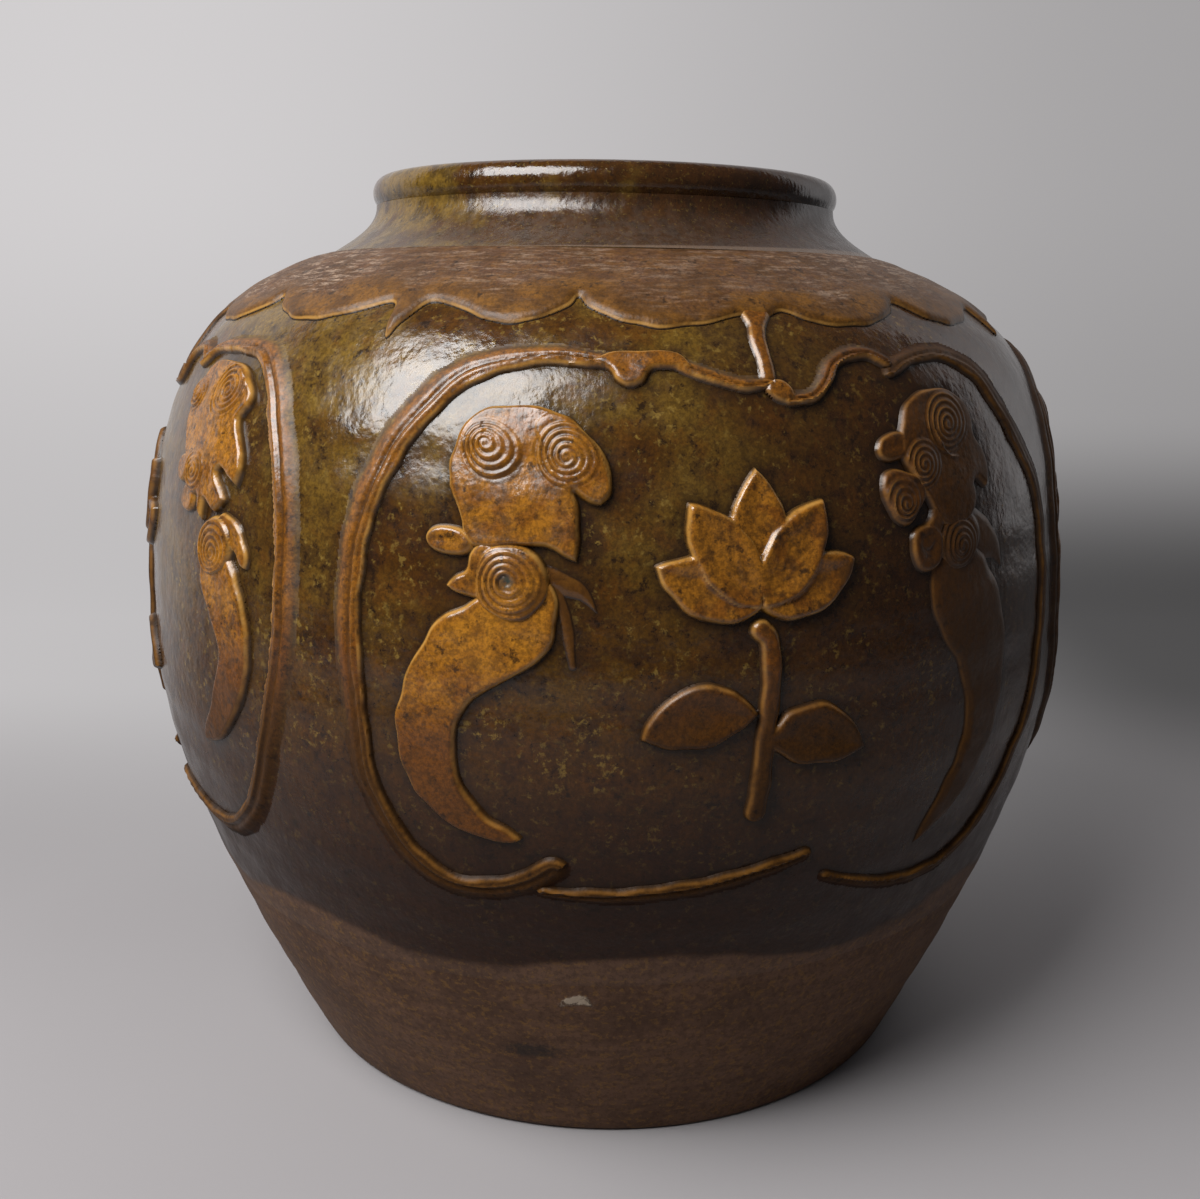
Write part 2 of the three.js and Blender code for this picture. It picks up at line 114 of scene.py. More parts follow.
def bezier(corners, count=300):
    t = np.linspace(0, 1, count)[:, None]
    a, b, c, d = np.array(corners, float)
    return (1 - t) ** 3 * a + 3 * (1 - t) ** 2 * t * b + 3 * (1 - t) * t**2 * c + t**3 * d


def lengths_along(points):
    steps = np.hypot(*np.diff(points, axis=0).T)
    return np.concatenate([[0], np.cumsum(steps)])


def outward_normals(points, lengths):
    along = np.gradient(points, lengths, axis=0)
    return np.stack([along[:, 1], -along[:, 0]], -1)


WALL = np.vstack([bezier(LOWER_WALL), bezier(UPPER_WALL)[1:]])
WALL_ARCS = lengths_along(WALL)
WALL_NORMALS = outward_normals(WALL, WALL_ARCS)
BELLY_ARC = lengths_along(bezier(LOWER_WALL))[-1]
NECK_ROOT_ARC = WALL_ARCS[-1]
BASE_JOIN_ARC = np.interp(BASE_SECTION_TOP, WALL[:, 1], WALL_ARCS)


def unevenness(turn, arc):
    """How far the hand-thrown wall stands out from a true round, in mm."""
    fine_rings = 0.1 * np.sin(arc / 2.7 + np.sin(turn))
    rings = fine_rings + 0.14 * np.sin(arc / 6.1 + 1.3 * np.sin(2 * turn + 1))
    swell = 0.3 * np.sin(2 * turn + 0.7 + arc / 90) + 0.2 * np.sin(5 * turn - arc / 40)
    return rings + swell


def lean(turn, radius, height):
    """The drop of the slightly tilted rim towards the right, in mm."""
    return -RIM_TILT * radius * np.sin(turn) * smoothstep(height, TILT_FROM, TILT_TO)


def turned_about(turn, radius, height):
    height = height + lean(turn, radius, height)
    return np.stack([radius * np.sin(turn), -radius * np.cos(turn), height], -1)


def wall_radius(arc):
    return np.interp(arc, WALL_ARCS, WALL[:, 0])


def beside_wall(arc, out):
    """The radius and the height of the place that far out from the true wall."""
    radius = wall_radius(arc) + out * np.interp(arc, WALL_ARCS, WALL_NORMALS[:, 0])
    height = np.interp(arc, WALL_ARCS, WALL[:, 1]) + out * np.interp(arc, WALL_ARCS, WALL_NORMALS[:, 1])
    return radius, height


def on_wall(turn, arc, out):
    return turned_about(turn, *beside_wall(arc, out + unevenness(turn, arc)))


# Meshes

def grid_faces(rows, columns, rows_close=False, columns_close=False, keep=None):
    index = np.arange(rows * columns).reshape(rows, columns)
    if rows_close:
        index = np.vstack([index, index[:1]])
    if columns_close:
        index = np.hstack([index, index[:, :1]])
    faces = np.stack([index[:-1, :-1], index[:-1, 1:], index[1:, 1:], index[1:, :-1]], -1).reshape(-1, 4)
    return faces if keep is None else faces[keep.ravel()[faces].all(axis=1)]


def without_loose(points, faces, shades):
    used = np.unique(faces)
    place = np.zeros(len(points), int)
    place[used] = np.arange(len(used))
    return points[used], place[faces], {name: values[used] for name, values in shades.items()}


def add_object(name, data):
    made = bpy.data.objects.new(name, data)
    bpy.context.collection.objects.link(made)
    return made


def make_piece(name, points, faces, material, node, shades=None):
    """A mesh piece, in metres, with a number per vertex for each name in shades."""
    points, faces, shades = without_loose(points.reshape(-1, 3), faces, shades or {})
    mesh = bpy.data.meshes.new(name)
    mesh.from_pydata((points * MM).tolist(), [], faces.tolist())
    for shade, values in shades.items():
        layer = mesh.attributes.new(shade, "FLOAT", "POINT")
        layer.data.foreach_set("value", values.astype(np.float32))
    mesh.materials.append(material)
    mesh.shade_smooth()
    mesh.set_sharp_from_angle(angle=SHARP_ANGLE)
    piece = add_object(name, mesh)
    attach(piece, "root")
    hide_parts(node)
    return piece


# Flat drawing

def spline(points, steps=SPLINE_STEPS):
    """A smooth line through the points, which it leaves and reaches without a bend."""
    p = np.array([points[0], *points, points[-1]], float)
    line = [p[1:2]]
    t = (np.arange(1, steps + 1) / steps)[:, None]
    for a, b, c, d in zip(p, p[1:], p[2:], p[3:]):
        square = 2 * a - 5 * b + 4 * c - d
        cube = 3 * b - a - 3 * c + d
        line.append(0.5 * (2 * b + (c - a) * t + square * t**2 + cube * t**3))
    return np.vstack(line)


def cut_outline(stretches):
    """A closed outline of smooth stretches that meet at corners. The first begins where the last
    one ends."""
    line = []
    last = stretches[-1][-1]
    for stretch in stretches:
        line.append(spline([last, *stretch])[:-1])
        last = stretch[-1]
    return np.vstack(line)


def round_outline(points):
    """A closed smooth outline with no corners."""
    count = len(points)
    looped = spline([*points[-2:], *points, *points[:3]])
    return looped[2 * SPLINE_STEPS: (2 + count) * SPLINE_STEPS]


def ellipse_outline(x, y, radius_x, radius_y):
    t = np.linspace(0, 2 * math.pi, 48, endpoint=False)
    return np.stack([x + radius_x * np.cos(t), y + radius_y * np.sin(t)], -1)


def moved(outline, across, up):
    return outline + np.array([across, up])


def in_blocks(function, x, y):
    """Runs a function on a few thousand points at a time, to save memory."""
    starts = range(0, len(x), POINTS_AT_ONCE)
    parts = [function(x[i:i + POINTS_AT_ONCE], y[i:i + POINTS_AT_ONCE]) for i in starts]
    return [np.concatenate(column) for column in zip(*parts)]


def nearest_on(line, x, y, closed):
    """For each point its distance to the line, its place along it and the side that it is on."""
    start = line if closed else line[:-1]
    step = (np.roll(line, -1, axis=0) if closed else line[1:]) - start
    step_length = np.hypot(step[:, 0], step[:, 1])
    before = np.concatenate([[0], np.cumsum(step_length)[:-1]])

    def block(bx, by):
        dx = bx[:, None] - start[:, 0]
        dy = by[:, None] - start[:, 1]
        t = np.clip((dx * step[:, 0] + dy * step[:, 1]) / (step_length**2 + 1e-12), 0, 1)
        gap = np.hypot(dx - t * step[:, 0], dy - t * step[:, 1])
        best = gap.argmin(axis=1)
        row = np.arange(len(bx))
        side = np.sign(step[best, 0] * dy[row, best] - step[best, 1] * dx[row, best])
        return gap[row, best], before[best] + t[row, best] * step_length[best], side

    return in_blocks(block, x, y)


def inside(outline, x, y):
    ax, ay = outline.T
    bx, by = np.roll(outline, -1, axis=0).T

    def block(px, py):
        px, py = px[:, None], py[:, None]
        spans = (ay > py) != (by > py)
        with np.errstate(divide="ignore", invalid="ignore"):
            left_of = px < (bx - ax) * (py - ay) / (by - ay) + ax
        return ((spans & left_of).sum(axis=1) % 2 == 1,)

    return in_blocks(block, x, y)[0]


def hand_wobble(x, y):
    """The small unevenness of an edge cut by hand, in mm."""
    sideways = 0.22 * np.sin(x / 2.3 + 1.7 * np.sin(y / 4.1))
    return sideways + 0.18 * np.sin(y / 1.9 + 1.4 * np.sin(x / 3.7))


def crest(depth, edge):
    """How high a soft-edged pad stands, as a share, at a distance in from its outline."""
    share = (depth + 0.3) / edge
    return np.where(share < 0, 2 * share, 1 - (1 - np.clip(share, 0, 1)) ** 2)


def bell(value, centre, width):
    return np.exp(-(((value - centre) / width) ** 2))


# Relief shapes. Each gives, for flat points, the depth inside its outline, the height, how far
# into a groove the point lies and how smeared it is, and knows the box that it fills. A faint
# shape counts as partly in a groove, which keeps its edge from looking worn.

class Pad:
    """A flat soft-edged piece of clay, hollowed in its middle by dish."""

    def __init__(self, outline, height, edge=PAD_EDGE, dish=0.0, faint=0.0):
        self.outline = outline
        self.height = height
        self.edge = edge
        self.dish = dish
        self.faint = faint
        self.low = outline.min(axis=0)
        self.high = outline.max(axis=0)

    def at(self, x, y):
        gap = nearest_on(self.outline, x, y, True)[0]
        depth = np.where(inside(self.outline, x, y), gap, -gap) + hand_wobble(x, y)
        hollow = self.dish * smoothstep(depth, 1.5, 7)
        swell = 0.16 * np.sin(x / 5.3 + np.sin(y / 4.7)) * smoothstep(depth, 0, 3)
        height = crest(depth, self.edge) * self.height - hollow + swell
        return depth, height, np.full_like(x, self.faint), np.zeros_like(x)


class Roll:
    """A strip of clay, smeared out on one side, with a sharp ridge along the other."""

    def __init__(self, route, widths, height, ridge_side=0, faint=0.0):
        self.line = spline(route)
        self.stops = np.linspace(0, lengths_along(self.line)[-1], len(widths))
        self.widths = np.array(widths, float)
        self.height = height
        self.ridge_side = ridge_side
        self.faint = faint
        reach = self.widths.max() / 2
        self.low = self.line.min(axis=0) - reach
        self.high = self.line.max(axis=0) + reach

    def at(self, x, y):
        gap, along, side = nearest_on(self.line, x, y, False)
        half = np.interp(along, self.stops, self.widths) / 2
        depth = half - gap + 0.8 * hand_wobble(x, y)
        if not self.ridge_side:
            return depth, crest(depth, 2.2) * self.height, np.full_like(x, self.faint), np.zeros_like(x)
        across = side * gap / half * self.ridge_side + 0.05 * np.sin(along / 5.3)
        smear = smoothstep(across, -1.1, -0.1)
        ridge = bell(across, 0.5, 0.17)
        groove = bell(across, 0.16, 0.16)
        shape = (0.72 + 0.28 * ridge - 0.24 * groove) * smear
        height = np.where(depth < 0.35, crest(depth, 1.3), 1.0) * shape * self.height
        height = np.where(across > 0, np.minimum(crest(depth, 1.5) * self.height, height), height)
        return depth, height, 0.85 * groove - 0.55 * ridge, smoothstep(-across, 0.0, 0.5)


class Curl:
    """A coil pressed into a pad: a low dome with an off-centre spiral groove. Eye is how deep a
    pit its heart has, and darker_side the side, in degrees, where its outer ring is made darker."""

    def __init__(self, heart, centre, radius, loops, hand=1, eye=0.0, darker_side=None):
        self.heart = np.array(heart, float)
        self.centre = np.array(centre, float)
        self.radius = radius
        self.loops = loops
        self.hand = hand
        self.eye = eye
        self.darker_side = darker_side

    def at(self, x, y):
        u, v = x - self.heart[0], y - self.heart[1]
        drift = self.centre - self.heart
        along = u * drift[0] + v * drift[1]
        spare = self.radius**2 - drift @ drift
        out = (np.sqrt(along**2 + spare * (u**2 + v**2)) - along) / spare
        angle = np.arctan2(v - drift[1] * out, u - drift[0] * out)
        out = out * (1 + 0.02 * np.sin(3 * angle + self.loops))
        phase = self.loops * out - self.hand * angle / (2 * math.pi)
        fade = smoothstep(1.08 - out, 0, 0.2) * smoothstep(out, 0.03, 0.12)
        ridge = 0.5 + 0.5 * np.cos(2 * math.pi * phase)
        depth = 0.7 + 0.3 * np.sin(angle + self.loops)
        lift = CURL_DOME * np.clip(1 - out**2, 0, 1) + CURL_RELIEF * depth * (ridge - 0.6) * fade
        pit = self.eye * (1 - smoothstep(out, 0.1, 0.3))
        groove = (1 - 2 * ridge) * fade * depth
        if self.darker_side is not None:
            # The outer ring made darker on the given side
            facing = np.clip(np.cos(angle - math.radians(self.darker_side)), 0, 1) ** 3
            outer = smoothstep(out, 0.55, 0.85) * smoothstep(1.15 - out, 0, 0.15)
            groove = groove + 1.4 * facing * outer
        return lift - 0.6 * pit, groove, pit


class Relief:
    """One applied piece: shapes laid together, with curls pressed into them. Tone is how dark
    its glaze is made, from 0 to 1, partly the glaze's own tone and partly painted shade."""

    def __init__(self, shapes, curls=(), tone=0.0):
        self.shapes = shapes
        self.curls = curls
        self.step = FINE_STEP if curls else PLAIN_STEP
        self.tone = tone
        self.low = np.min([shape.low for shape in shapes], axis=0) - SKIRT - self.step
        self.high = np.max([shape.high for shape in shapes], axis=0) + SKIRT + self.step
        self.sheet = None

    def fields(self, x, y):
        """Depth inside the outline, height, groove, smear and pit of the flat points."""
        top = self.shapes[0].at(x, y)
        for shape in self.shapes[1:]:
            other = shape.at(x, y)
            higher = other[1] > top[1]
            top = [np.where(higher, theirs, ours) for theirs, ours in zip(other, top)]
        depth, height, groove, smear = top
        pit = np.zeros_like(x)
        for curl in self.curls:
            lift, curl_groove, curl_pit = curl.at(x, y)
            on_pad = smoothstep(depth, 0.2, 1.4)
            height = height + lift * on_pad
            groove = groove + curl_groove * on_pad
            pit = np.maximum(pit, curl_pit)
        return depth, height, groove, smear, pit

    def flat_sheet(self):
        """The piece as a flat grid, worked out once and pressed on every panel."""
        if self.sheet is None:
            columns = int((self.high[0] - self.low[0]) / self.step) + 1
            rows = int((self.high[1] - self.low[1]) / self.step) + 1
            across = np.linspace(self.low[0], self.high[0], columns)
            up = np.linspace(self.low[1], self.high[1], rows)
            x, y = (grid.ravel() for grid in np.meshgrid(across, up))
            fields = self.fields(x, y)
            self.sheet = x, y, fields, grid_faces(rows, columns, keep=fields[0] > -SKIRT)
        return self.sheet

    def pressed(self, name, azimuth, shift, material, node):
        x, y, (depth, height, groove, smear, pit), faces = self.flat_sheet()
        arc = PANEL_CENTRE_ARC + y
        turn = math.radians(azimuth) + (x + shift) / wall_radius(arc)
        points = on_wall(turn, arc, np.maximum(height, DEEPEST))
        tone = np.clip(self.tone + tone_and_shade(turn, y), 0, 1)
        shades = {"depth": depth, "groove": groove, "smear": smear, "pit": pit, "tone": tone}
        return make_piece(name, points, faces, material, node, shades)


def tone_and_shade(turn, up):
    """How dark the amber glaze is made: darker low down, darker on the jar's right side as painted shade
    away from the key lamp, and darker on the left panel's outer half, where it fired darker.
    """
    low = 0.55 * smoothstep(-up, -10, 45)
    # Painted shade on the jar's right side, away from the key lamp
    painted_shade = 0.55 * smoothstep(np.cos(turn - math.radians(SHADED_SIDE)), 0.45, 0.9)
    far = 0.6 * smoothstep(np.cos(turn - math.radians(DARK_SIDE)), 0.8, 0.97)
    return low + painted_shade + far


# The drawings of one panel's relief

LEFT_HEAD = cut_outline([
    [(-92.8, 50), (-90.4, 56.1), (-86.6, 61.2), (-81.6, 64.8), (-76.4, 66), (-66, 66.1), (-59.6, 63.9),
     (-53.6, 58.9), (-49.3, 53.4), (-47.4, 46.9), (-48.1, 41.5), (-51, 38.3)],
    [(-53.6, 38.9), (-57.8, 41.3)],
    [(-57.2, 34.2), (-58.3, 22.2)],
    [(-61.8, 24), (-64.9, 26), (-69.3, 27.2), (-78.6, 26.4), (-87.5, 26.4)],
    [(-90.2, 30.2), (-90.6, 34.4), (-93.3, 43)],
])
LEFT_HOOD = cut_outline([
    [(-68, 60), (-63, 64.6), (-57, 62), (-52, 57), (-48.6, 50), (-47.6, 43), (-50.8, 38.6)],
    [(-54, 39.6), (-57.6, 41.6), (-62.6, 45), (-66.5, 52)],
])
LEFT_LOBE = round_outline([
    (-101, 28.4), (-98.6, 31.4), (-94, 32.4), (-89.6, 31), (-87, 27.4), (-89.2, 24.2), (-94.6, 23.8),
    (-99.6, 25.2),
])
LEFT_LEAF = cut_outline([
    [(-88.4, 24.6), (-89.9, 20.2), (-93, 18), (-95.6, 15.2)],
    [(-92.8, 13.2), (-87.7, 12), (-80, 11.8)],
    [(-77, 18), (-80, 26), (-85, 28)],
])
LEFT_ARM = cut_outline([
    [(-65.2, 20.8), (-58, 17.6), (-54.6, 12.4), (-53.4, 8.6)],
    [(-57.4, 12), (-62.2, 13.2), (-65.4, 15.5), (-69, 16), (-71, 22)],
])
LEFT_LOCK = [(-64.4, 14.8), (-62.6, 8.5), (-61.4, 0.4), (-60.5, -6.6)]
LEFT_TAIL = cut_outline([
    [(-96.5, 7.2), (-103, 0.1), (-108.9, -10.5), (-112.7, -21.2), (-113.3, -28.3), (-111.9, -37),
     (-107.5, -46.7), (-99.3, -54.4), (-91.1, -58.5), (-84, -60.6), (-77.4, -61), (-74.6, -59.4)],
    [(-78.9, -56.8), (-85, -52.9), (-91.2, -45.7), (-94.1, -38.7), (-95.1, -32.6), (-94.3, -26.4),
     (-91.5, -20.1), (-87, -15.6), (-81, -11.9), (-74.3, -8.2), (-69.2, -4.7), (-65.9, 0.3),
     (-64.5, 5.2), (-63.9, 11.7), (-66.2, 17)],
    [(-76, 18), (-90.4, 10)],
])
RIGHT_HEAD = cut_outline([
    [(46.4, 64.4), (54.4, 68.8), (63, 69), (71.8, 66), (76, 59.6), (76.4, 53.6), (80.6, 48.4),
     (82.4, 43.6), (80.8, 36.6)],
    [(76, 40), (73.4, 38.6)],
    [(74, 32), (68, 27), (57, 28), (51, 36), (44, 45), (42, 50), (42.6, 57)],
])
RIGHT_LOBE = round_outline([
    (33.5, 51.4), (34.6, 54.8), (38.4, 56.4), (43, 56), (47, 53), (46, 49), (38.6, 47.6), (35, 48.8),
])
RIGHT_BAND = [(49.4, 58.2), (55.6, 55.8), (58.2, 51.4), (62.4, 47.8), (70, 47.4)]
RIGHT_COIL = round_outline([
    (33.9, 40), (34.6, 44), (38.4, 45.6), (43, 45), (48.8, 42.4), (50.6, 37), (48, 32.6), (44.6, 29.6),
    (41, 29), (37, 31.4), (34.8, 35.2),
])
RIGHT_BRIDGE = [(49, 42), (53.6, 38.4), (56, 33.4), (54.6, 28), (50, 24)]
RIGHT_PAW = round_outline([
    (44, 22.6), (45.1, 26), (48.6, 28.2), (53.4, 28.6), (57.4, 24.4), (57.6, 19), (56, 15.6),
    (51.8, 14.2), (47.6, 15.4), (44.8, 19),
])
RIGHT_CHEEK = ellipse_outline(66, 22.4, 10.4, 10)
RIGHT_FLAP = cut_outline([
    [(75, 31), (83, 26), (88.6, 19.4), (90.6, 10.6)],
    [(85, 14), (79, 15.4), (70, 20), (66, 31.6)],
])
RIGHT_TAIL = cut_outline([
    [(52.8, 8), (54.2, 1), (59.2, -7.8), (66.6, -17), (70.4, -27), (71.6, -38), (67.4, -51),
     (61.7, -62.6), (54.5, -77)],
    [(69, -69), (82, -55), (91, -36), (93.6, -16), (89, 2), (79, 17)],
    [(67, 24), (53.4, 16)],
])

# The left panel was laid by hand like the others, but its right dragon came out larger
ODD_HEAD = cut_outline([
    [(58, 74.5), (62.5, 76.4), (69.6, 76.8), (76.6, 75.9), (83.7, 72.8), (88.3, 69.3), (90.9, 65.7),
     (91.4, 62.2), (89.6, 58.5), (91.4, 54.6), (94.3, 50.8), (97.2, 46.6), (98.9, 42.3), (97.3, 37.3)],
    [(93.1, 39.8), (90.2, 41.5), (87, 42.5)],
    [(85.8, 41.1), (87.3, 38.3), (90.5, 35.6), (92.8, 32.9), (91, 31.2), (86.9, 28.8)],
    [(82.6, 30.8), (80.4, 31.4)],
    [(79.6, 25.3)],
    [(76.6, 28.4), (75.4, 32.6)],
    [(70, 38), (62, 44), (58.5, 49.3), (55.5, 54.3), (55, 58.1), (54.4, 60.8), (51.8, 65.1), (53, 69),
     (56, 71.8)],
])
ODD_FLAP = cut_outline([
    [(92.5, 28.9), (98.1, 27.6), (102.1, 24.6), (105.3, 20.1), (106.7, 16.4), (106.4, 12.7)],
    [(103.9, 13.6), (100.2, 16.6), (97.3, 18.7)],
    [(94, 22), (90, 27)],
])
ODD_TAIL = cut_outline([
    [(80.9, 15), (82, 7.6), (84.4, 0.8), (88.8, -5.7), (92, -11), (92.4, -18), (90.2, -25.6),
     (86.6, -33.8), (82.4, -40.1), (79.4, -45.4)],
    [(80.8, -48.6), (88.9, -46), (96.1, -41.2), (99.8, -36.6), (103.9, -31.1), (107.3, -23.8),
     (108.9, -15.9), (109, -8.4), (107.3, -0.8), (105.1, 4.8), (102, 10.5), (98.3, 15.6), (96.6, 20)],
    [(90, 26), (80.6, 20)],
])

# The clay strips of the frame and the tie that hangs from the collar
CREST_LOBE = round_outline([
    (-50, 80), (-45, 76.8), (-43.4, 73.6), (-40.4, 71.8), (-36.2, 73.2), (-32.4, 77), (-26, 77.6),
    (-21.6, 77), (-22, 80.4), (-25.6, 83.2), (-36, 83.6), (-44, 82.6),
])
CREST_STRIP = [(-24, 79), (-20, 77), (-13.7, 74.2), (-7.2, 72.2), (0.6, 72.8)]
CREST_KNOT = round_outline([(-0.6, 72.6), (3.8, 73.4), (7.2, 70.4), (7.4, 67), (3.3, 66.3), (-1, 68.9)])
CREST_RIGHT = [(6, 67.4), (13.2, 68.4), (18, 72.6), (22, 78.4), (28.9, 81.8), (36.1, 82), (42.4, 78.8)]
LEFT_ARC = [
    (-46, 80.4), (-58, 82.2), (-73, 81), (-86, 76.4), (-97.6, 68), (-108, 57.5), (-115.4, 47),
    (-122, 34.6), (-127.4, 15), (-128.6, -7), (-126, -37), (-121, -52.4), (-113, -65.6), (-105, -73.4),
    (-97, -78), (-88.6, -79.2), (-80, -78), (-71, -74.6), (-65.5, -70.8),
]
RIGHT_ARC = [
    (43, 75.4), (50, 79), (62, 81.8), (73, 80.6), (86, 74.4), (98, 62.6), (106, 53), (115, 43),
    (124.4, 29), (128.4, 10), (128.6, -7), (126, -26), (119.6, -42), (111.6, -55), (102.6, -68),
    (93.6, -78), (80, -87), (66, -90.6), (50, -90), (34, -86), (20, -80.4),
]
FULL_RIGHT_ARC = [
    (43, 76), (52.5, 82), (70.8, 83), (85.6, 80.4), (98, 71.6), (107, 60), (117, 44), (122.6, 26),
    (124.4, 10), (124.4, -7), (121, -25), (114, -46), (103, -63), (90, -75), (76, -82), (60, -84),
    (40, -82), (20, -80),
]
BOTTOM = [
    (-68, -78.6), (-57, -79.8), (-47, -80.4), (-36, -79.6), (-23.6, -78.4), (-13.6, -76.8), (-4, -74.6),
    (3.6, -72.8), (11, -70.6),
]
COLLAR_TIE = [(4.4, 104), (2.2, 97), (0.8, 89), (0.6, 84.8), (0.9, 79), (0.5, 74.6)]

LOTUS_X, LOTUS_Y = -7, 8
PETAL_LENGTH = 40
PETAL_WIDTH = 17
PETAL_COUNT = 5
PETAL_SPREAD = math.radians(33)


def petal_outline(index):
    from_middle = index - (PETAL_COUNT - 1) / 2
    length = PETAL_LENGTH * (1 - 0.09 * abs(from_middle))
    half = PETAL_WIDTH / 2
    right = bezier([(0, 0), (half * 1.5, length * 0.25), (half * 1.3, length * 0.75), (0, length)], 24)
    left = bezier([(0, length), (-half * 1.3, length * 0.75), (-half * 1.5, length * 0.25), (0, 0)], 24)
    outline = np.vstack([right[:-1], left[:-1]])
    c, s = math.cos(from_middle * PETAL_SPREAD), math.sin(from_middle * PETAL_SPREAD)
    return np.stack([c * outline[:, 0] + s * outline[:, 1], c * outline[:, 1] - s * outline[:, 0]], -1)


def lotus_bloom():
    petals = []
    for index in range(PETAL_COUNT):
        over = 0.6 * (abs(index - PETAL_COUNT // 2) % 2)
        petals.append(Pad(moved(petal_outline(index), LOTUS_X, LOTUS_Y), LOTUS_HEIGHT + over, dish=0.9))
    return Relief(petals, tone=0.22)


LEAF = cut_outline([
    [(9, 8), (20, 9.6), (30, 3.4), (35, -6)],
    [(25, -9), (12, -8), (0, 0)],
])


def lotus_leaves():
    stem = Roll([(LOTUS_X, 2.5), (LOTUS_X + 3.4, -7), (LOTUS_X, -52)], [6.4, 6, 6.6], LOTUS_HEIGHT)
    right_leaf = Pad(moved(LEAF, LOTUS_X, -30), LOTUS_HEIGHT, dish=0.7)
    left_leaf = Pad(moved(LEAF * np.array([-1, 1]), LOTUS_X, -22), LOTUS_HEIGHT, dish=0.7)
    return Relief([stem, right_leaf, left_leaf], tone=0.35)


def strip(route, widths, height, ridge_side, tone):
    return Relief([Roll(route, widths, height, ridge_side)], tone=tone)


# The right-hand pieces' higher tones are partly painted shade: on the left panel, which faces the key
# lamp, the same pieces are given lower tones
RELIEFS = {
    "frame_crest_left": Relief(
        [Pad(CREST_LOBE, FRAME_HEIGHT, dish=0.5),
         Roll(CREST_STRIP, [5, 5.4, 5, 4.6, 4.4], FRAME_HEIGHT - 0.3, -1)],
        tone=0.3,
    ),
    "frame_crest_right": Relief(
        [Pad(CREST_KNOT, FRAME_HEIGHT - 0.4),
         Roll(CREST_RIGHT, [4, 4.6, 5, 5.4, 5.4, 5], FRAME_HEIGHT, -1)],
        tone=0.3,
    ),
    "frame_left_arc": strip(LEFT_ARC, [6, 9, 9.4, 9.4, 9, 8, 8, 9.5], FRAME_HEIGHT, 1, 0.3),
    "frame_right_arc": strip(RIGHT_ARC, [5, 8, 9.4, 9.4, 9, 8, 6, 4], FRAME_HEIGHT - 0.5, -1, 0.6),
    "frame_bottom": strip(BOTTOM, [4, 6, 6.6, 6.4, 5], FRAME_HEIGHT - 0.3, 1, 0.35),
    "left_dragon_head": Relief(
        [Pad(LEFT_HEAD, HEAD_HEIGHT), Pad(LEFT_HOOD, HEAD_HEIGHT + 0.45)],
        [Curl((-81.8, 55), (-80, 53), 8.8, 4.6, 1, darker_side=-60),
         Curl((-59.4, 51), (-58.8, 51.6), 9.6, 5.2, -1)],
        tone=0.19,
    ),
    "left_dragon_mane": Relief(
        [Pad(LEFT_ARM, 0.8, 2.4, faint=0.9), Roll(LEFT_LOCK, [2.4, 3.4, 3.0, 2.0], 0.6, faint=0.95),
         Pad(LEFT_LOBE, MANE_HEIGHT - 0.8, dish=0.4), Pad(LEFT_LEAF, MANE_HEIGHT - 0.9),
         Pad(ellipse_outline(-77, 16.6, 10.8, 11), MANE_HEIGHT)],
        [Curl((-78.4, 17.2), (-77, 16.4), 10.4, 5.2, 1, eye=1.0, darker_side=-40)],
        tone=0.16,
    ),
    "left_dragon_tail": Relief([Pad(LEFT_TAIL, TAIL_HEIGHT)], tone=-0.03),
    "right_dragon_head": Relief(
        [Pad(RIGHT_HEAD, HEAD_HEIGHT - 0.7), Pad(RIGHT_LOBE, HEAD_HEIGHT - 1.0, dish=0.4),
         Roll(RIGHT_BAND, [1.6, 2.6, 2.6, 1.6], HEAD_HEIGHT - 0.1)],
        [Curl((62.2, 57.2), (62.6, 58.4), 10, 5, 1), Curl((49.8, 45.6), (50, 46.6), 8, 4.4, -1)],
        tone=0.36,
    ),
    "right_dragon_mane": Relief(
        [Pad(RIGHT_FLAP, MANE_HEIGHT - 2.0, 3, faint=0.7),
         Pad(RIGHT_CHEEK, MANE_HEIGHT - 1.4, 3, faint=0.5),
         Pad(RIGHT_COIL, MANE_HEIGHT - 1.1, dish=0.7),
         Roll(RIGHT_BRIDGE, [4, 6, 6, 7, 8], MANE_HEIGHT - 1.3),
         Pad(RIGHT_PAW, MANE_HEIGHT - 1.1, dish=0.8)],
        [Curl((41.8, 34.6), (41, 36.6), 7.4, 4, 1), Curl((66, 20), (65, 21.4), 9, 5, -1)],
        tone=0.36,
    ),
    "right_dragon_tail": Relief([Pad(RIGHT_TAIL, TAIL_HEIGHT - 0.8, 4, faint=0.45)], tone=0.3),
    "lotus_bloom": lotus_bloom(),
    "lotus_leaves": lotus_leaves(),
}
TIE = strip(COLLAR_TIE, [11, 9, 5.6, 4.8, 4.6, 4.8], COLLAR_HEIGHT - 0.3, 0, 0.35)

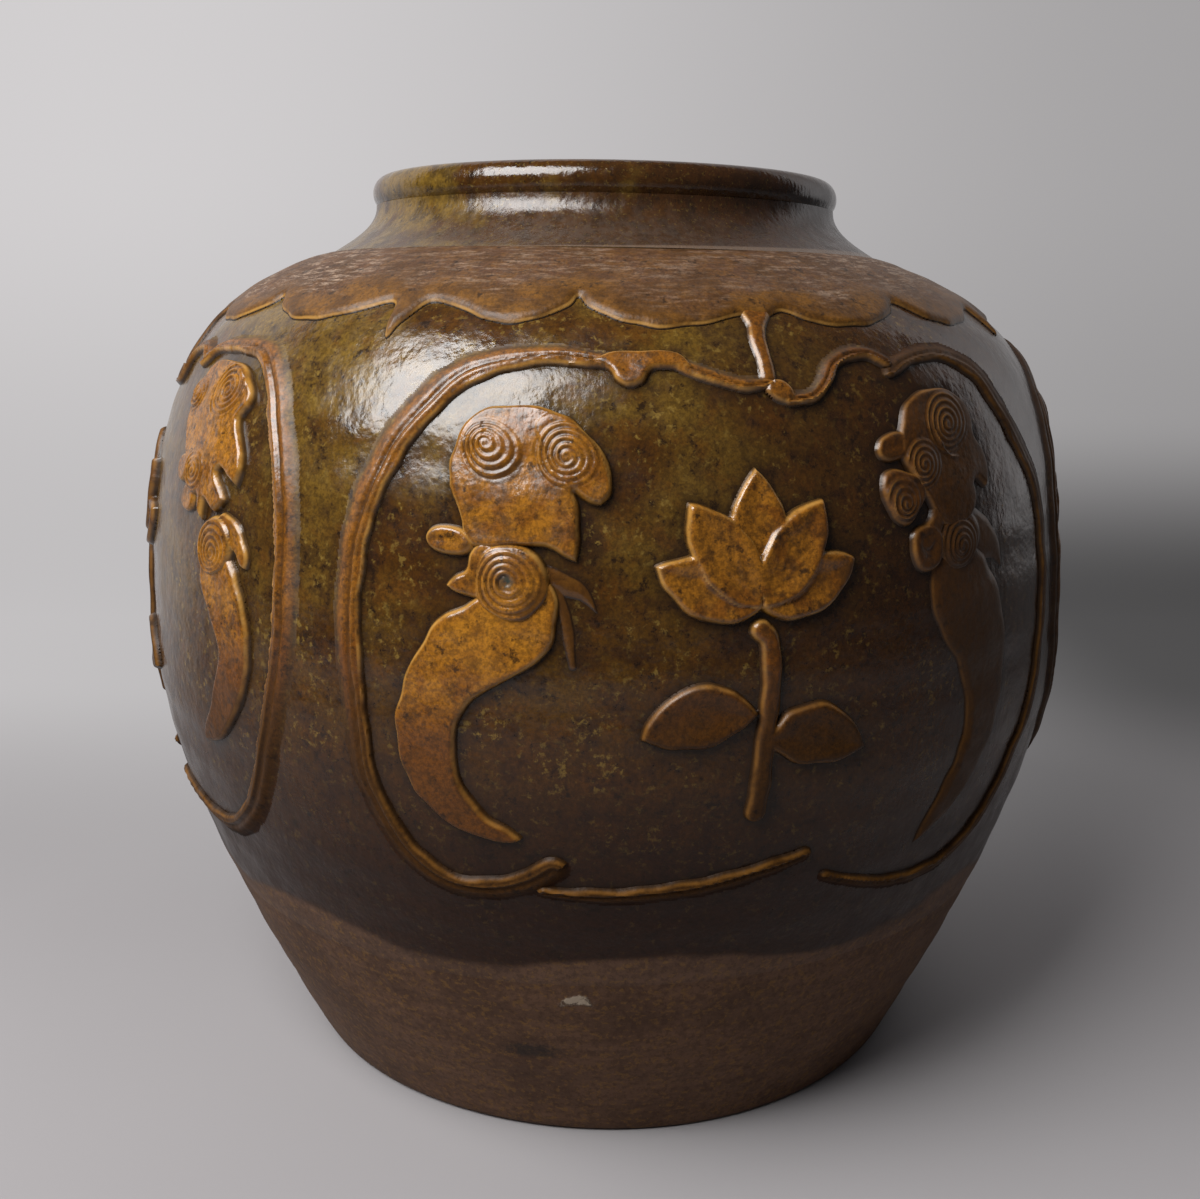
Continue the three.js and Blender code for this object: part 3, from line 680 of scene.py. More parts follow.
# Lower tones than the same pieces elsewhere: partly painted light, as this panel faces the key lamp
LEFT_PANEL_RELIEFS = {
    "frame_right_arc": strip(FULL_RIGHT_ARC, [5, 8, 9.4, 9.4, 9, 8, 5], FRAME_HEIGHT, -1, 0.3),
    "right_dragon_head": Relief(
        [Pad(ODD_HEAD, HEAD_HEIGHT)],
        [Curl((78.8, 66.4), (78.2, 66.8), 9.8, 5, 1), Curl((58.6, 64), (58, 64.6), 6, 3.4, -1)],
        tone=0.16,
    ),
    "right_dragon_mane": Relief(
        [Pad(ellipse_outline(59.8, 40.4, 4.6, 5), MANE_HEIGHT - 1.2),
         Pad(ellipse_outline(67.5, 31.4, 5.6, 5.2), MANE_HEIGHT - 1.2),
         Pad(ODD_FLAP, MANE_HEIGHT - 1.2), Pad(ellipse_outline(72, 40.2, 7.8, 7.8), MANE_HEIGHT - 0.4),
         Pad(ellipse_outline(89.6, 17.8, 9.8, 9.6), MANE_HEIGHT - 0.2)],
        [Curl((72.6, 40), (72, 40.2), 7.2, 4, 1), Curl((90.6, 15.6), (90, 17.6), 9, 5, -1)],
        tone=0.16,
    ),
    "right_dragon_tail": Relief([Pad(ODD_TAIL, TAIL_HEIGHT)], tone=0.12),
}


def panel_reliefs(panel):
    """Each applied piece of a panel, as (part, relief, shift)."""
    pieces = {**RELIEFS, **LEFT_PANEL_RELIEFS} if panel == "left" else RELIEFS
    for part, relief in pieces.items():
        shift = RIGHT_DRAGON_SHIFT[panel] if part.startswith("right_dragon") else 0
        yield part, relief, shift


# The collar's lower edge over one panel, as (degrees from the panel's centre, arc)
COLLAR_EDGE = [
    (-66, 305.5), (-62, 298.6), (-56.6, 294.6), (-50, 297.4), (-45.4, 302.4), (-43.2, 302.6),
    (-42.6, 295), (-41.8, 288.8), (-40.6, 295), (-38.6, 303.2), (-35.6, 303), (-32, 298.6),
    (-28.4, 295), (-24.4, 297.2), (-21, 302.6), (-19.9, 307.6), (-18.6, 303), (-16.6, 298.8),
    (-11.9, 294), (-6.4, 294.6), (-1, 298.4), (2.1, 298), (4.8, 300.6), (7.8, 296.2), (10.4, 294.2),
    (16, 294.6), (21.6, 300),
]


# Looks

GLAZE_REFRACTION = 1.5
CLAY_REFRACTION = 1.3
CLAY_ROUGHNESS = 0.55


class Look:
    """A material being built. Its methods add nodes and give back their result. Across, behind
    and height are the place of the point that is shaded, in metres."""

    def __init__(self, name, refraction=GLAZE_REFRACTION):
        self.material = bpy.data.materials.new(name)
        self.material.use_nodes = True
        self.tree = self.material.node_tree
        self.shader = self.tree.nodes["Principled BSDF"]
        self.shader.inputs["IOR"].default_value = refraction
        self.place = self.add("ShaderNodeTexCoord").outputs["Object"]
        axes = self.add("ShaderNodeSeparateXYZ", {"Vector": self.place}).outputs
        self.across, self.behind, self.height = axes

    def add(self, kind, values=None, **settings):
        node = self.tree.nodes.new(kind)
        for name, value in settings.items():
            setattr(node, name, value)
        for name, value in (values or {}).items():
            self.give(node.inputs[name], value)
        return node

    def give(self, socket, value):
        if isinstance(value, bpy.types.NodeSocket):
            self.tree.links.new(value, socket)
        elif isinstance(value, tuple) and len(value) == 3 and socket.type == "RGBA":
            socket.default_value = (*value, 1)
        else:
            socket.default_value = value

    def stretched(self, across, up):
        """Places drawn out across and up, for a noise with longer patches that way."""
        scale = (1 / across, 1 / across, 1 / up)
        return self.add("ShaderNodeMapping", {"Vector": self.place, "Scale": scale}).outputs["Vector"]

    def noise(self, size, detail, place=None, rough=0.55):
        """Noise from about 0 to 1, with patches of that size in mm."""
        values = {"Vector": place or self.place, "Scale": 1 / (size * MM)}
        values.update({"Detail": detail, "Roughness": rough})
        return self.add("ShaderNodeTexNoise", values).outputs["Fac"]

    def shade(self, name):
        return self.add("ShaderNodeAttribute", attribute_name=name).outputs["Fac"]

    def span(self, value, low, high, to_low=0.0, to_high=1.0):
        values = {"Value": value, "From Min": low, "From Max": high, "To Min": to_low, "To Max": to_high}
        return self.add("ShaderNodeMapRange", values, interpolation_type="SMOOTHSTEP").outputs["Result"]

    def patches(self, size, detail, low, high, to_low=0.0, to_high=1.0, rough=0.55):
        """Noise made into soft patches, with a value off them and a value on them."""
        return self.span(self.noise(size, detail, rough=rough), low, high, to_low, to_high)

    def maths(self, kind, a, b):
        node = self.add("ShaderNodeMath", operation=kind)
        self.give(node.inputs[0], a)
        self.give(node.inputs[1], b)
        return node.outputs["Value"]

    def times(self, a, b):
        return self.maths("MULTIPLY", a, b)

    def plus(self, a, b):
        return self.maths("ADD", a, b)

    def larger(self, a, b):
        return self.maths("MAXIMUM", a, b)

    def rest(self, share):
        """What a share leaves of one."""
        return self.maths("SUBTRACT", 1.0, share)

    def mix(self, amount, a, b):
        # The colour sockets go by number, as the float ones have the same names
        node = self.add("ShaderNodeMix", data_type="RGBA")
        self.give(node.inputs["Factor"], amount)
        self.give(node.inputs[6], a)
        self.give(node.inputs[7], b)
        return node.outputs[2]

    def bump(self, height, distance, under=None):
        values = {"Height": height, "Distance": distance * MM, "Strength": 1.0}
        if under is not None:
            values["Normal"] = under
        return self.add("ShaderNodeBump", values).outputs["Normal"]

    def finish(self, colour, roughness, normal, sheen=None):
        self.give(self.shader.inputs["Base Color"], colour)
        self.give(self.shader.inputs["Roughness"], roughness)
        self.give(self.shader.inputs["Normal"], normal)
        if sheen is not None:
            self.give(self.shader.inputs["Specular IOR Level"], sheen)
        return self.material


# Colours, as linear light
OLIVE = (0.138, 0.078, 0.011)
BROWN = (0.058, 0.022, 0.003)
RUST = (0.095, 0.034, 0.004)
PLUM = (0.020, 0.008, 0.0055)
MOSS_SPECK = (0.17, 0.105, 0.022)
DARKEST_GLAZE = (0.012, 0.006, 0.003)
AMBER = (0.36, 0.146, 0.012)
RUSSET = (0.155, 0.049, 0.005)
COLLAR_AMBER = (0.15, 0.062, 0.008)
DARK_AMBER = (0.050, 0.020, 0.004)
OCHRE = (0.42, 0.22, 0.05)
RIDGE_AMBER = (0.30, 0.135, 0.025)
TAN = (0.085, 0.037, 0.016)
PALE_TAN = (0.33, 0.23, 0.16)
BARE_CLAY = (0.128, 0.070, 0.043)
DARK_CLAY = (0.054, 0.029, 0.019)
OCHRE_CLAY = (0.17, 0.09, 0.03)
SCAR_CLAY = (0.34, 0.27, 0.20)
SMUDGE = (0.022, 0.020, 0.019)
EYE = (0.035, 0.042, 0.034)
BLOOM = (0.072, 0.053, 0.042)

# In metres: the height of the glaze's lower edge, and how far below it the bare clay is sure
GLAZE_LINE = 0.083
BARE_DROP = 0.008
PIT_SPACING = 16


def grained(look, colour, amount=0.5):
    """Breaks a glaze colour up with fine dark grain and larger dark flecks."""
    grain = look.span(look.noise(1.4, 5, rough=0.8), 0.40, 0.60, 0.0, amount)
    colour = look.mix(grain, colour, DARKEST_GLAZE)
    flecks = look.patches(4.0, 4, 0.56, 0.68, 0.0, 0.8, rough=0.75)
    return look.mix(flecks, colour, DARKEST_GLAZE)


def pinholes(look):
    """Small dark pits, scattered where a slow noise runs high."""
    cells = look.add("ShaderNodeTexVoronoi", {"Vector": look.place, "Scale": 1 / (PIT_SPACING * MM)})
    dots = cells.outputs["Distance"]
    return look.times(look.span(dots, 0.08, 0.045), look.patches(40, 2, 0.5, 0.56))


def ground_colour(look):
    """The mottled dark glaze: olive and brown, with moss specks, plum lower down. The olive kept high on
    the left is partly painted light, and the plum and dimmed specks on the right are painted shade.
    """
    # Olive only high on the left: partly the glaze's own olive, partly painted light where the key lamp
    # falls
    left = look.span(look.across, 0.11, -0.02)
    upper = look.times(look.span(look.height, 0.13, 0.27), left)
    cloud = look.times(look.patches(38, 3, 0.35, 0.6), upper)
    patch = look.patches(8, 5, 0.45, 0.66, rough=0.65)
    colour = look.mix(cloud, BROWN, OLIVE)
    colour = look.mix(look.patches(11, 5, 0.48, 0.66, 0.0, 0.6, rough=0.7), colour, RUST)
    low = look.span(look.height, 0.19, 0.10)
    # Painted shade: plum on the right side, away from the key lamp
    right = look.span(look.across, 0.0, 0.12, 0.0, 0.7)
    shadowed = look.larger(low, right)
    colour = look.mix(look.times(shadowed, 0.85), colour, PLUM)
    colour = look.mix(look.times(patch, 0.6), colour, PLUM)
    colour = look.mix(pinholes(look), grained(look, colour), DARKEST_GLAZE)
    # Specks dimmed in the painted shade
    dim = look.rest(look.times(shadowed, 0.8))
    crowd = look.patches(15, 3, 0.38, 0.62, 0.15, rough=0.65)
    specks = look.patches(2.6, 4, 0.54, 0.68, 0.0, 0.9, rough=0.7)
    return look.mix(look.times(look.times(specks, crowd), dim), colour, MOSS_SPECK)


def glaze_bump(look, coarse=0.35, fine=0.07):
    """The glaze's skin: slow waves, runs down the wall and fine orange peel."""
    swell = look.bump(look.noise(7, 2), coarse)
    runs = look.bump(look.noise(1.5, 3, look.stretched(1.0, 5.0)), 0.06, under=swell)
    return look.bump(look.noise(1.3, 2.5), fine, under=runs)


def wall_look(name, refraction):
    """Glaze above the glaze line and bare clay below it, with the kiln scar and the smudge."""
    look = Look(name, refraction)
    # Halo beside the relief: pooled glaze and painted contact shade
    glazed = look.mix(look.shade("halo"), ground_colour(look), DARKEST_GLAZE)
    throwing = look.noise(30, 4, look.stretched(3.0, 0.12))
    clay = look.mix(look.span(throwing, 0.3, 0.75, 0.62), DARK_CLAY, BARE_CLAY)
    clay = look.mix(look.patches(32, 5, 0.45, 0.62, 0, 0.5, rough=0.65), clay, DARK_CLAY)
    clay = look.mix(look.patches(2.2, 4, 0.45, 0.60, 0, 0.6, rough=0.75), clay, DARK_CLAY)
    clay = look.mix(look.patches(2.4, 3, 0.52, 0.64, 0, 0.6, rough=0.7), clay, OCHRE_CLAY)
    wander = look.patches(70, 1.5, 0.25, 0.75, -0.006, 0.006)
    edge = look.maths("SUBTRACT", look.height, look.plus(wander, GLAZE_LINE))
    covered = look.span(edge, -0.0018, 0.0022)
    colour = look.mix(covered, clay, glazed)
    chipped = look.patches(2.6, 3, 0.35, 0.6, 0.75, 1.3, rough=0.7)
    scar = look.span(look.times(look.shade("scar"), chipped), 0.35, 0.75)
    colour = look.mix(scar, colour, SCAR_CLAY)
    smudge = look.span(look.times(look.shade("smudge"), chipped), 0.3, 0.95, 0.0, 0.7)
    colour = look.mix(smudge, colour, SMUDGE)
    glaze_sheen = look.span(look.height, 0.09, 0.22, 0.14, 0.5)
    sheen = look.larger(look.times(glaze_sheen, covered), 0.12)
    dullness = look.span(look.height, 0.17, 0.09, 0.0, 0.16)
    glaze_roughness = look.plus(look.patches(12, 4, 0.3, 0.7, 0.12, 0.26), dullness)
    parts = {"Factor": covered, "A": CLAY_ROUGHNESS, "B": glaze_roughness}
    roughness = look.add("ShaderNodeMix", parts, data_type="FLOAT").outputs["Result"]
    relief = look.bump(scar, 0.9, under=glaze_bump(look))
    return look.finish(colour, roughness, relief, sheen)


def fired_amber(look, depth, tone):
    """Mottled amber, browner along the edge and as tone grows."""
    mottle = look.span(tone, 0.0, 0.25, 0.4, 0.85)
    blotch = look.times(look.patches(9, 5, 0.40, 0.62, rough=0.65), mottle)
    rim = look.span(depth, 5.0, 1.5, 0.0, 0.45)
    brown = look.larger(look.larger(blotch, rim), look.span(tone, 0.05, 0.45))
    warm = look.mix(brown, AMBER, RUSSET)
    warm = look.mix(look.span(tone, 0.2, 0.95), warm, DARK_AMBER)
    dark = look.times(look.patches(5, 5, 0.46, 0.64, rough=0.75), mottle)
    warm = look.mix(look.times(dark, 0.85), warm, DARK_AMBER)
    return grained(look, warm)


def amber_look():
    """The relief's glaze: amber, dark in grooves, pale on worn edges that fade with the tone's painted
    shade, and thin where smeared.
    """
    look = Look("amber_glaze")
    depth = look.shade("depth")
    tone = look.shade("tone")
    groove = look.shade("groove")
    smear = look.shade("smear")
    lines = look.rest(smear)
    warm = fired_amber(look, depth, tone)
    dim = look.span(tone, 0.0, 0.9, 1.0, 0.5)
    broken = look.patches(7, 4, 0.3, 0.6, 0.15, 0.95)
    # Worn pale edges, fading as the tone darkens, so partly painted light with the tone's painted shade
    worn_and_lit = look.times(look.span(depth, 1.4, 0.6, 0.0, 0.8), look.times(broken, dim))
    worn_and_lit = look.times(worn_and_lit, look.rest(groove))
    line_colour = look.mix(look.span(tone, 0.1, 0.8, 0.0, 0.65), OCHRE, RUSSET)
    colour = look.mix(look.times(worn_and_lit, lines), warm, line_colour)
    ridges = look.times(look.span(groove, -0.2, -0.9, 0.0, 0.6), dim)
    colour = look.mix(ridges, colour, RIDGE_AMBER)
    colour = look.mix(look.span(groove, 0.1, 0.9, 0.0, 0.8), colour, DARK_AMBER)
    # Darkest glaze along each pad's foot: pooled glaze and painted contact shade
    colour = look.mix(look.times(look.span(depth, 0.5, -0.1, 0.0, 0.85), lines), colour, DARKEST_GLAZE)
    outside = look.times(look.span(depth, 2.6, 0.2), smear)
    colour = look.mix(outside, colour, ground_colour(look))
    glassy = look.patches(3, 3, 0.4, 0.6, 0.35, rough=0.7)
    colour = look.mix(look.times(look.shade("pit"), glassy), colour, EYE)
    high_up = look.span(look.height, 0.1, 0.21, 0.16, 0.5)
    sheen = look.times(high_up, look.span(tone, 0.35, 0.9, 1.0, 0.5))
    dull = look.plus(look.span(tone, 0, 1, 0, 0.2), look.times(smear, 0.3))
    roughness = look.plus(look.patches(10, 4, 0.3, 0.7, 0.15, 0.31), dull)
    return look.finish(colour, roughness, glaze_bump(look, 0.45, 0.1), sheen)


def collar_look():
    """Dry tan clay with pale streaks near the neck, and amber glaze along the scallops. The streaks grow
    paler towards both sides as painted sheen, the right side is browned as painted shade, and the worn
    ochre edges show mostly on the lit left as painted light.
    """
    look = Look("collar_glaze")
    depth = look.shade("depth")
    # Painted shade: browner on the right side, away from the key lamp
    right = look.span(look.across, -0.02, 0.12, 0.0, 0.25)
    streaks = look.noise(6, 6, look.stretched(1.6, 0.16), 0.8)
    dry = look.mix(look.patches(5, 5, 0.42, 0.6, 0, 0.5, rough=0.75), TAN, COLLAR_AMBER)
    dry = look.mix(look.patches(18, 5, 0.45, 0.62, 0, 0.75, rough=0.7), dry, BROWN)
    # Painted sheen: the pale streaks grow stronger towards both sides, where the dry glaze catches
    # glancing light
    sides = look.span(look.maths("ABSOLUTE", look.across, 0.0), 0.04, 0.11, 0.5)
    pale = look.times(look.span(streaks, 0.48, 0.62), look.patches(25, 4, 0.35, 0.6, 0.3))
    pale = look.times(pale, sides)
    dry = look.mix(pale, dry, PALE_TAN)
    wander = look.patches(22, 3, 0.2, 0.8, -8.0, 8.0)
    warm = look.mix(look.patches(9, 4, 0.38, 0.62, 0.0, 0.7), COLLAR_AMBER, BROWN)
    colour = look.mix(look.span(look.plus(depth, wander), 5.0, 16.0), warm, dry)
    colour = look.mix(right, colour, BROWN)
    broken = look.patches(11, 4, 0.3, 0.6, 0.1, 0.9)
    # Painted light: the worn ochre edges show mostly on the lit left side
    lit = look.span(look.across, 0.02, 0.12, 0.7, 0.1)
    worn_and_lit = look.times(look.span(depth, 1.05, 0.45), look.times(broken, lit))
    colour = look.mix(worn_and_lit, grained(look, colour, 0.45), OCHRE)
    # Darkest glaze at the foot of the scallops: pooled glaze and painted contact shade
    colour = look.mix(look.span(depth, 0.3, -0.1), colour, DARKEST_GLAZE)
    sheen = look.span(look.across, 0.06, 0.13, 0.28, 0.55)
    roughness = look.span(depth, 4, 20, 0.42, 0.5)
    return look.finish(colour, roughness, glaze_bump(look, 0.3, 0.14), sheen)


def neck_look(name, bloom):
    """The glaze of the neck and the lip, olive more on the left, partly painted light, and plum on the
    right as painted shade. Bloom is how much grey haze lies low on it.
    """
    look = Look(name)
    # Olive more on the left: partly painted light where the key lamp falls
    left = look.span(look.across, -0.02, -0.07, -0.08, 0.12)
    cloud = look.span(look.plus(look.noise(22, 4), left), 0.48, 0.62)
    colour = look.mix(cloud, BROWN, OLIVE)
    # Painted shade: plum on the right side, away from the key lamp, with the specks dimmed there
    right = look.span(look.across, -0.04, 0.07, 0.0, 0.7)
    colour = look.mix(right, colour, PLUM)
    colour = look.mix(look.patches(6, 5, 0.45, 0.66, 0, 0.6), colour, DARKEST_GLAZE)
    specks = look.patches(1.5, 3, 0.56, 0.7, 0, 0.7, rough=0.75)
    dim = look.rest(right)
    colour = look.mix(look.times(specks, dim), grained(look, colour, 0.4), MOSS_SPECK)
    runs = look.noise(9, 5, look.stretched(0.35, 1.6), 0.7)
    hazy = look.times(look.span(look.height, 0.318, 0.304), look.span(runs, 0.35, 0.65, 0.35))
    # Grey haze, kept mostly to the left side
    hazy = look.times(hazy, look.span(look.across, 0.0, 0.08, 1.0, 0.2))
    colour = look.mix(look.times(hazy, bloom), colour, BLOOM)
    colour = look.mix(look.span(look.height, 0.3024, 0.3019, 0.0, 0.22), colour, PALE_TAN)
    roughness = look.plus(look.span(runs, 0.3, 0.7, 0.08, 0.22), 0.2 * bloom)
    return look.finish(colour, roughness, glaze_bump(look, 0.3, 0.1))


# The thrown pieces

TURNS = np.linspace(0, 2 * math.pi, COLUMNS, endpoint=False)


def wall_rows(from_arc, to_arc):
    count = max(2, round((to_arc - from_arc) / WALL_STEP) + 1)
    arcs = np.linspace(from_arc, to_arc, count)
    return arcs, on_wall(TURNS[None, :], arcs[:, None], 0.0)


def plain_rows(profile):
    radius, height = np.array(profile, float).T
    return turned_about(TURNS[None, :], radius[:, None], height[:, None])


def inner_rows(from_arc, to_arc):
    """The inside of the wall, from the top down."""
    arcs = np.linspace(to_arc, from_arc, max(2, round((to_arc - from_arc) / INNER_STEP) + 1))
    return plain_rows(np.stack(beside_wall(arcs, -WALL_THICKNESS), -1))


def ring_piece(name, points, material, node, shades=None):
    """Rows of points, closed to a ring with a solid cross-section."""
    faces = grid_faces(len(points), COLUMNS, rows_close=True, columns_close=True)
    return make_piece(name, points, faces, material, node, shades)


def turns_from(azimuth):
    """The turn of every column from that direction, which is given in degrees."""
    return (TURNS - math.radians(azimuth) + math.pi) % (2 * math.pi) - math.pi


def halo_on(arcs):
    """How dark the wall is made beside the relief, partly for glaze pooled there and partly as painted
    contact shade, from 0 to 1.
    """
    halo = np.zeros((len(arcs), COLUMNS))
    up = arcs - PANEL_CENTRE_ARC
    for panel, azimuth in PANELS.items():
        across = turns_from(azimuth)[None, :] * wall_radius(arcs)[:, None]
        for _, relief, shift in [*panel_reliefs(panel), ("tie", TIE, 0)]:
            reach = 3 * HALO_WIDTH
            near = (across - shift > relief.low[0] - reach) & (across - shift < relief.high[0] + reach)
            near &= ((up > relief.low[1] - reach) & (up < relief.high[1] + reach))[:, None]
            row, column = np.nonzero(near)
            if len(row) == 0:
                continue
            depth, _, _, smear, _ = relief.fields(across[row, column] - shift, up[row])
            dark = np.exp(-np.clip(-depth, 0, None) / HALO_WIDTH) * (1 - 0.85 * smear)
            halo[row, column] = np.maximum(halo[row, column], dark)
    return halo


# The pale mark where the jar touched a neighbour in the kiln, and a dark one below it
SCAR = {"turn": -3.3, "arc": 75.5, "length": 6.4, "width": 2.6, "arch": 3.0}
SMUDGE_MARK = {"turn": -9.5, "arc": 47.5, "length": 12.0, "width": 4.5, "arch": 0.0}


def mark_on(arcs, mark):
    """How strongly a mark shows on the wall, from 0 to 1."""
    across = turns_from(mark["turn"])[None, :] * wall_radius(arcs)[:, None] / mark["length"]
    up = (arcs - mark["arc"])[:, None] + mark["arch"] * across**2
    return np.exp(-(across**2) - (up / mark["width"]) ** 2)


def leave_bare(piece, bare):
    """Gives the faces that lie below the glaze line the finish of bare clay."""
    piece.data.materials.append(bare)
    faces = piece.data.polygons
    centres = np.zeros(3 * len(faces))
    faces.foreach_get("center", centres)
    low = centres[2::3] < GLAZE_LINE - BARE_DROP
    faces.foreach_set("material_index", low.astype(int))


def thrown_wall(name, node, from_arc, to_arc, material, closing_rows=None):
    arcs, outside = wall_rows(from_arc, to_arc)
    within = inner_rows(from_arc, to_arc) if closing_rows is None else closing_rows
    halo = halo_on(arcs) * HALO_STRENGTH
    seen = {"halo": halo, "scar": mark_on(arcs, SCAR), "smudge": mark_on(arcs, SMUDGE_MARK)}
    unmarked = np.zeros((len(within), COLUMNS))
    shades = {shade: np.vstack([values, unmarked]).ravel() for shade, values in seen.items()}
    return ring_piece(name, np.vstack([outside, within]), material, node, shades)


def base_section(material):
    corner = wall_radius(BASE_JOIN_ARC * 0.6) - WALL_THICKNESS
    inner_top = wall_radius(BASE_JOIN_ARC) - WALL_THICKNESS
    half_way = 0.3 * FLOOR_FILLET
    closing = plain_rows([
        (inner_top, BASE_SECTION_TOP + INNER_JOIN_RISE),
        (corner, FLOOR_THICKNESS + FLOOR_FILLET),
        (corner - half_way, FLOOR_THICKNESS + half_way),
        (corner - FLOOR_FILLET, FLOOR_THICKNESS),
        (AXIS_HOLE, FLOOR_THICKNESS),
        (AXIS_HOLE, 0),
        (LOWER_WALL[0][0] - BASE_BEVEL, 0),
    ])
    thrown_wall("foot_and_floor", "base_section", BASE_BEVEL, BASE_JOIN_ARC, material,
                closing)


def neck_rows(outward, count):
    line = bezier(NECK_WALL)
    lengths = lengths_along(line)
    line = line + outward * outward_normals(line, lengths)
    at = np.linspace(0, lengths[-1], count)
    return np.stack([np.interp(at, lengths, line[:, 0]), np.interp(at, lengths, line[:, 1])], -1)


def neck_piece(material):
    profile = np.vstack([neck_rows(0, 26), neck_rows(-WALL_THICKNESS, 6)[::-1]])
    ring_piece("short_neck", plain_rows(profile), material, "neck")


def lip_piece(material):
    centre = LIP_RADIUS - LIP_WIDTH / 2
    crown_base = LIP_TOP - LIP_CROWN
    t = np.linspace(ROLL_FROM, math.pi, 40)
    radius = centre + LIP_WIDTH / 2 * np.cos(t)
    height = crown_base + LIP_CROWN * np.sin(t)
    inner_end = neck_rows(-WALL_THICKNESS, 2)[-1]
    neck_x, neck_y = NECK_WALL[-1]
    profile = np.vstack([[(neck_x - 0.3, neck_y)], np.stack([radius, height], -1), [inner_end]])
    ring_piece("rolled_rim", plain_rows(profile), material, "rolled_lip")


def collar_line():
    """The collar's lower edge, once round the jar, as (degrees, arc)."""
    points = [(azimuth + angle, arc) for azimuth in PANELS.values() for angle, arc in COLLAR_EDGE]
    return spline([*points, (points[0][0] + 360, points[0][1])], 5)


COLLAR_TOP = 342.4
COLLAR_BOTTOM = 285.5
COLLAR_COLUMNS = 1080
COLLAR_STEP = 0.75
COLLAR_SLOPE = 3.2
SEAM_OVERLAP = 40


def collar_depth(turn, arc):
    """Distance in from the scalloped edge, in mm."""
    line = collar_line()
    mm_per_degree = math.radians(wall_radius(COLLAR_BOTTOM))
    start = line[0, 0]
    x = ((np.degrees(turn) - start) % 360 + start) * mm_per_degree
    flat = line * [mm_per_degree, 1]
    full_turn = np.array([360 * mm_per_degree, 0])
    before = flat[-SEAM_OVERLAP:-1] - full_turn
    after = flat[1:SEAM_OVERLAP] + full_turn
    gap = nearest_on(np.vstack([before, flat, after]), x, arc, False)[0]
    ceiling = [(flat[-1, 0], 2 * COLLAR_TOP), (flat[0, 0], 2 * COLLAR_TOP)]
    covered = inside(np.vstack([flat, ceiling]), x, arc)
    return np.where(covered, gap, -gap) + hand_wobble(x, arc)


def collar_piece(material):
    rows = round((COLLAR_TOP - COLLAR_BOTTOM) / COLLAR_STEP) + 1
    arcs = np.linspace(COLLAR_BOTTOM, COLLAR_TOP, rows)
    turns = np.linspace(0, 2 * math.pi, COLLAR_COLUMNS, endpoint=False)
    turn, arc = (grid.ravel() for grid in np.meshgrid(turns, arcs))
    depth = collar_depth(turn, arc)
    height = crest(depth, COLLAR_SLOPE) * COLLAR_HEIGHT
    thinning = smoothstep(COLLAR_TOP - arc, -4, 8)
    height = np.where(arc > COLLAR_TOP - 0.4, -0.6, height * thinning)
    points = on_wall(turn, arc, np.maximum(height, -1.2))
    faces = grid_faces(rows, COLLAR_COLUMNS, columns_close=True, keep=depth > -SKIRT)
    make_piece("scalloped_collar", points, faces, material, "shoulder_collar",
               {"depth": depth})


# The studio

CAMERA_PLACE = (-0.0019, -0.51307, 0.28325)
CAMERA_PITCH = 76.813
CAMERA_LENS = 37.5
SENSOR_WIDTH = 36
LAMP_AIM = (0, 0, 0.17)


def studio_camera():
    data = bpy.data.cameras.new("camera")
    data.lens = CAMERA_LENS
    data.sensor_width = SENSOR_WIDTH
    data.clip_start = 0.01
    camera = add_object("camera", data)
    camera.location = CAMERA_PLACE
    camera.rotation_euler = (math.radians(CAMERA_PITCH), 0, 0)
    bpy.context.scene.camera = camera


def lamp(name, azimuth, elevation, distance, width, height, watts):
    """A soft box. Azimuth 0 is the camera's side, and it grows to the right."""
    data = bpy.data.lights.new(name, "AREA")
    data.shape = "RECTANGLE"
    data.size = width
    data.size_y = height
    data.energy = watts
    light = add_object(name, data)
    a, e = math.radians(azimuth), math.radians(elevation)
    way = np.array([math.sin(a) * math.cos(e), -math.cos(a) * math.cos(e), math.sin(e)])
    light.location = np.array(LAMP_AIM) + distance * way
    light.rotation_euler = (math.radians(90 - elevation), 0, a)
    return light


FLOOR_PAPER = (0.34, 0.323, 0.328)
WALL_GLOW = (1.0, 0.97, 0.98)
ROOM_COLOUR = (0.80, 0.80, 0.86)
ROOM_STRENGTH = 0.075
BLACK = (0, 0, 0)


def backdrop_look():
    """Paper whose wall looks pale to the camera and in reflections, but lights nothing: a painted glow,
    brighter to the left, with a painted shadow of the jar low on the right.
    """
    look = Look("backdrop_paper")
    grain = look.patches(400, 2, 0.3, 0.7, 0.0, 0.06)
    rays = look.add("ShaderNodeLightPath").outputs
    seen = look.larger(rays["Is Camera Ray"], rays["Is Glossy Ray"])
    seen = look.larger(seen, rays["Is Transmission Ray"])
    on_wall = look.times(seen, look.span(look.behind, 0.0, 0.42))
    paper = look.mix(grain, look.mix(on_wall, FLOOR_PAPER, BLACK), BLACK)
    # Painted light: the wall's glow is brighter on the left
    glow = look.span(look.across, -0.6, 0.75, 0.63, 0.36)
    glow = look.plus(glow, look.span(look.across, -0.8, -1.4, 0.0, 0.22))
    glow = look.plus(glow, look.span(look.across, 0.9, 1.6, 0.0, 0.36))
    # Painted shadow of the jar, low on the right of the wall
    near_floor = look.span(look.height, 0.17, 0.0)
    painted_shadow = look.times(near_floor, look.span(look.across, 0.0, 0.45, 0.0, 0.8))
    glow = look.times(glow, look.rest(painted_shadow))
    glow = look.times(glow, look.span(look.height, 0.0, 0.45, 0.82))
    glow = look.times(glow, on_wall)
    look.give(look.shader.inputs["Emission Color"], WALL_GLOW)
    look.give(look.shader.inputs["Emission Strength"], glow)
    return look.finish(paper, 0.9, look.bump(look.noise(3, 2), 0.02))


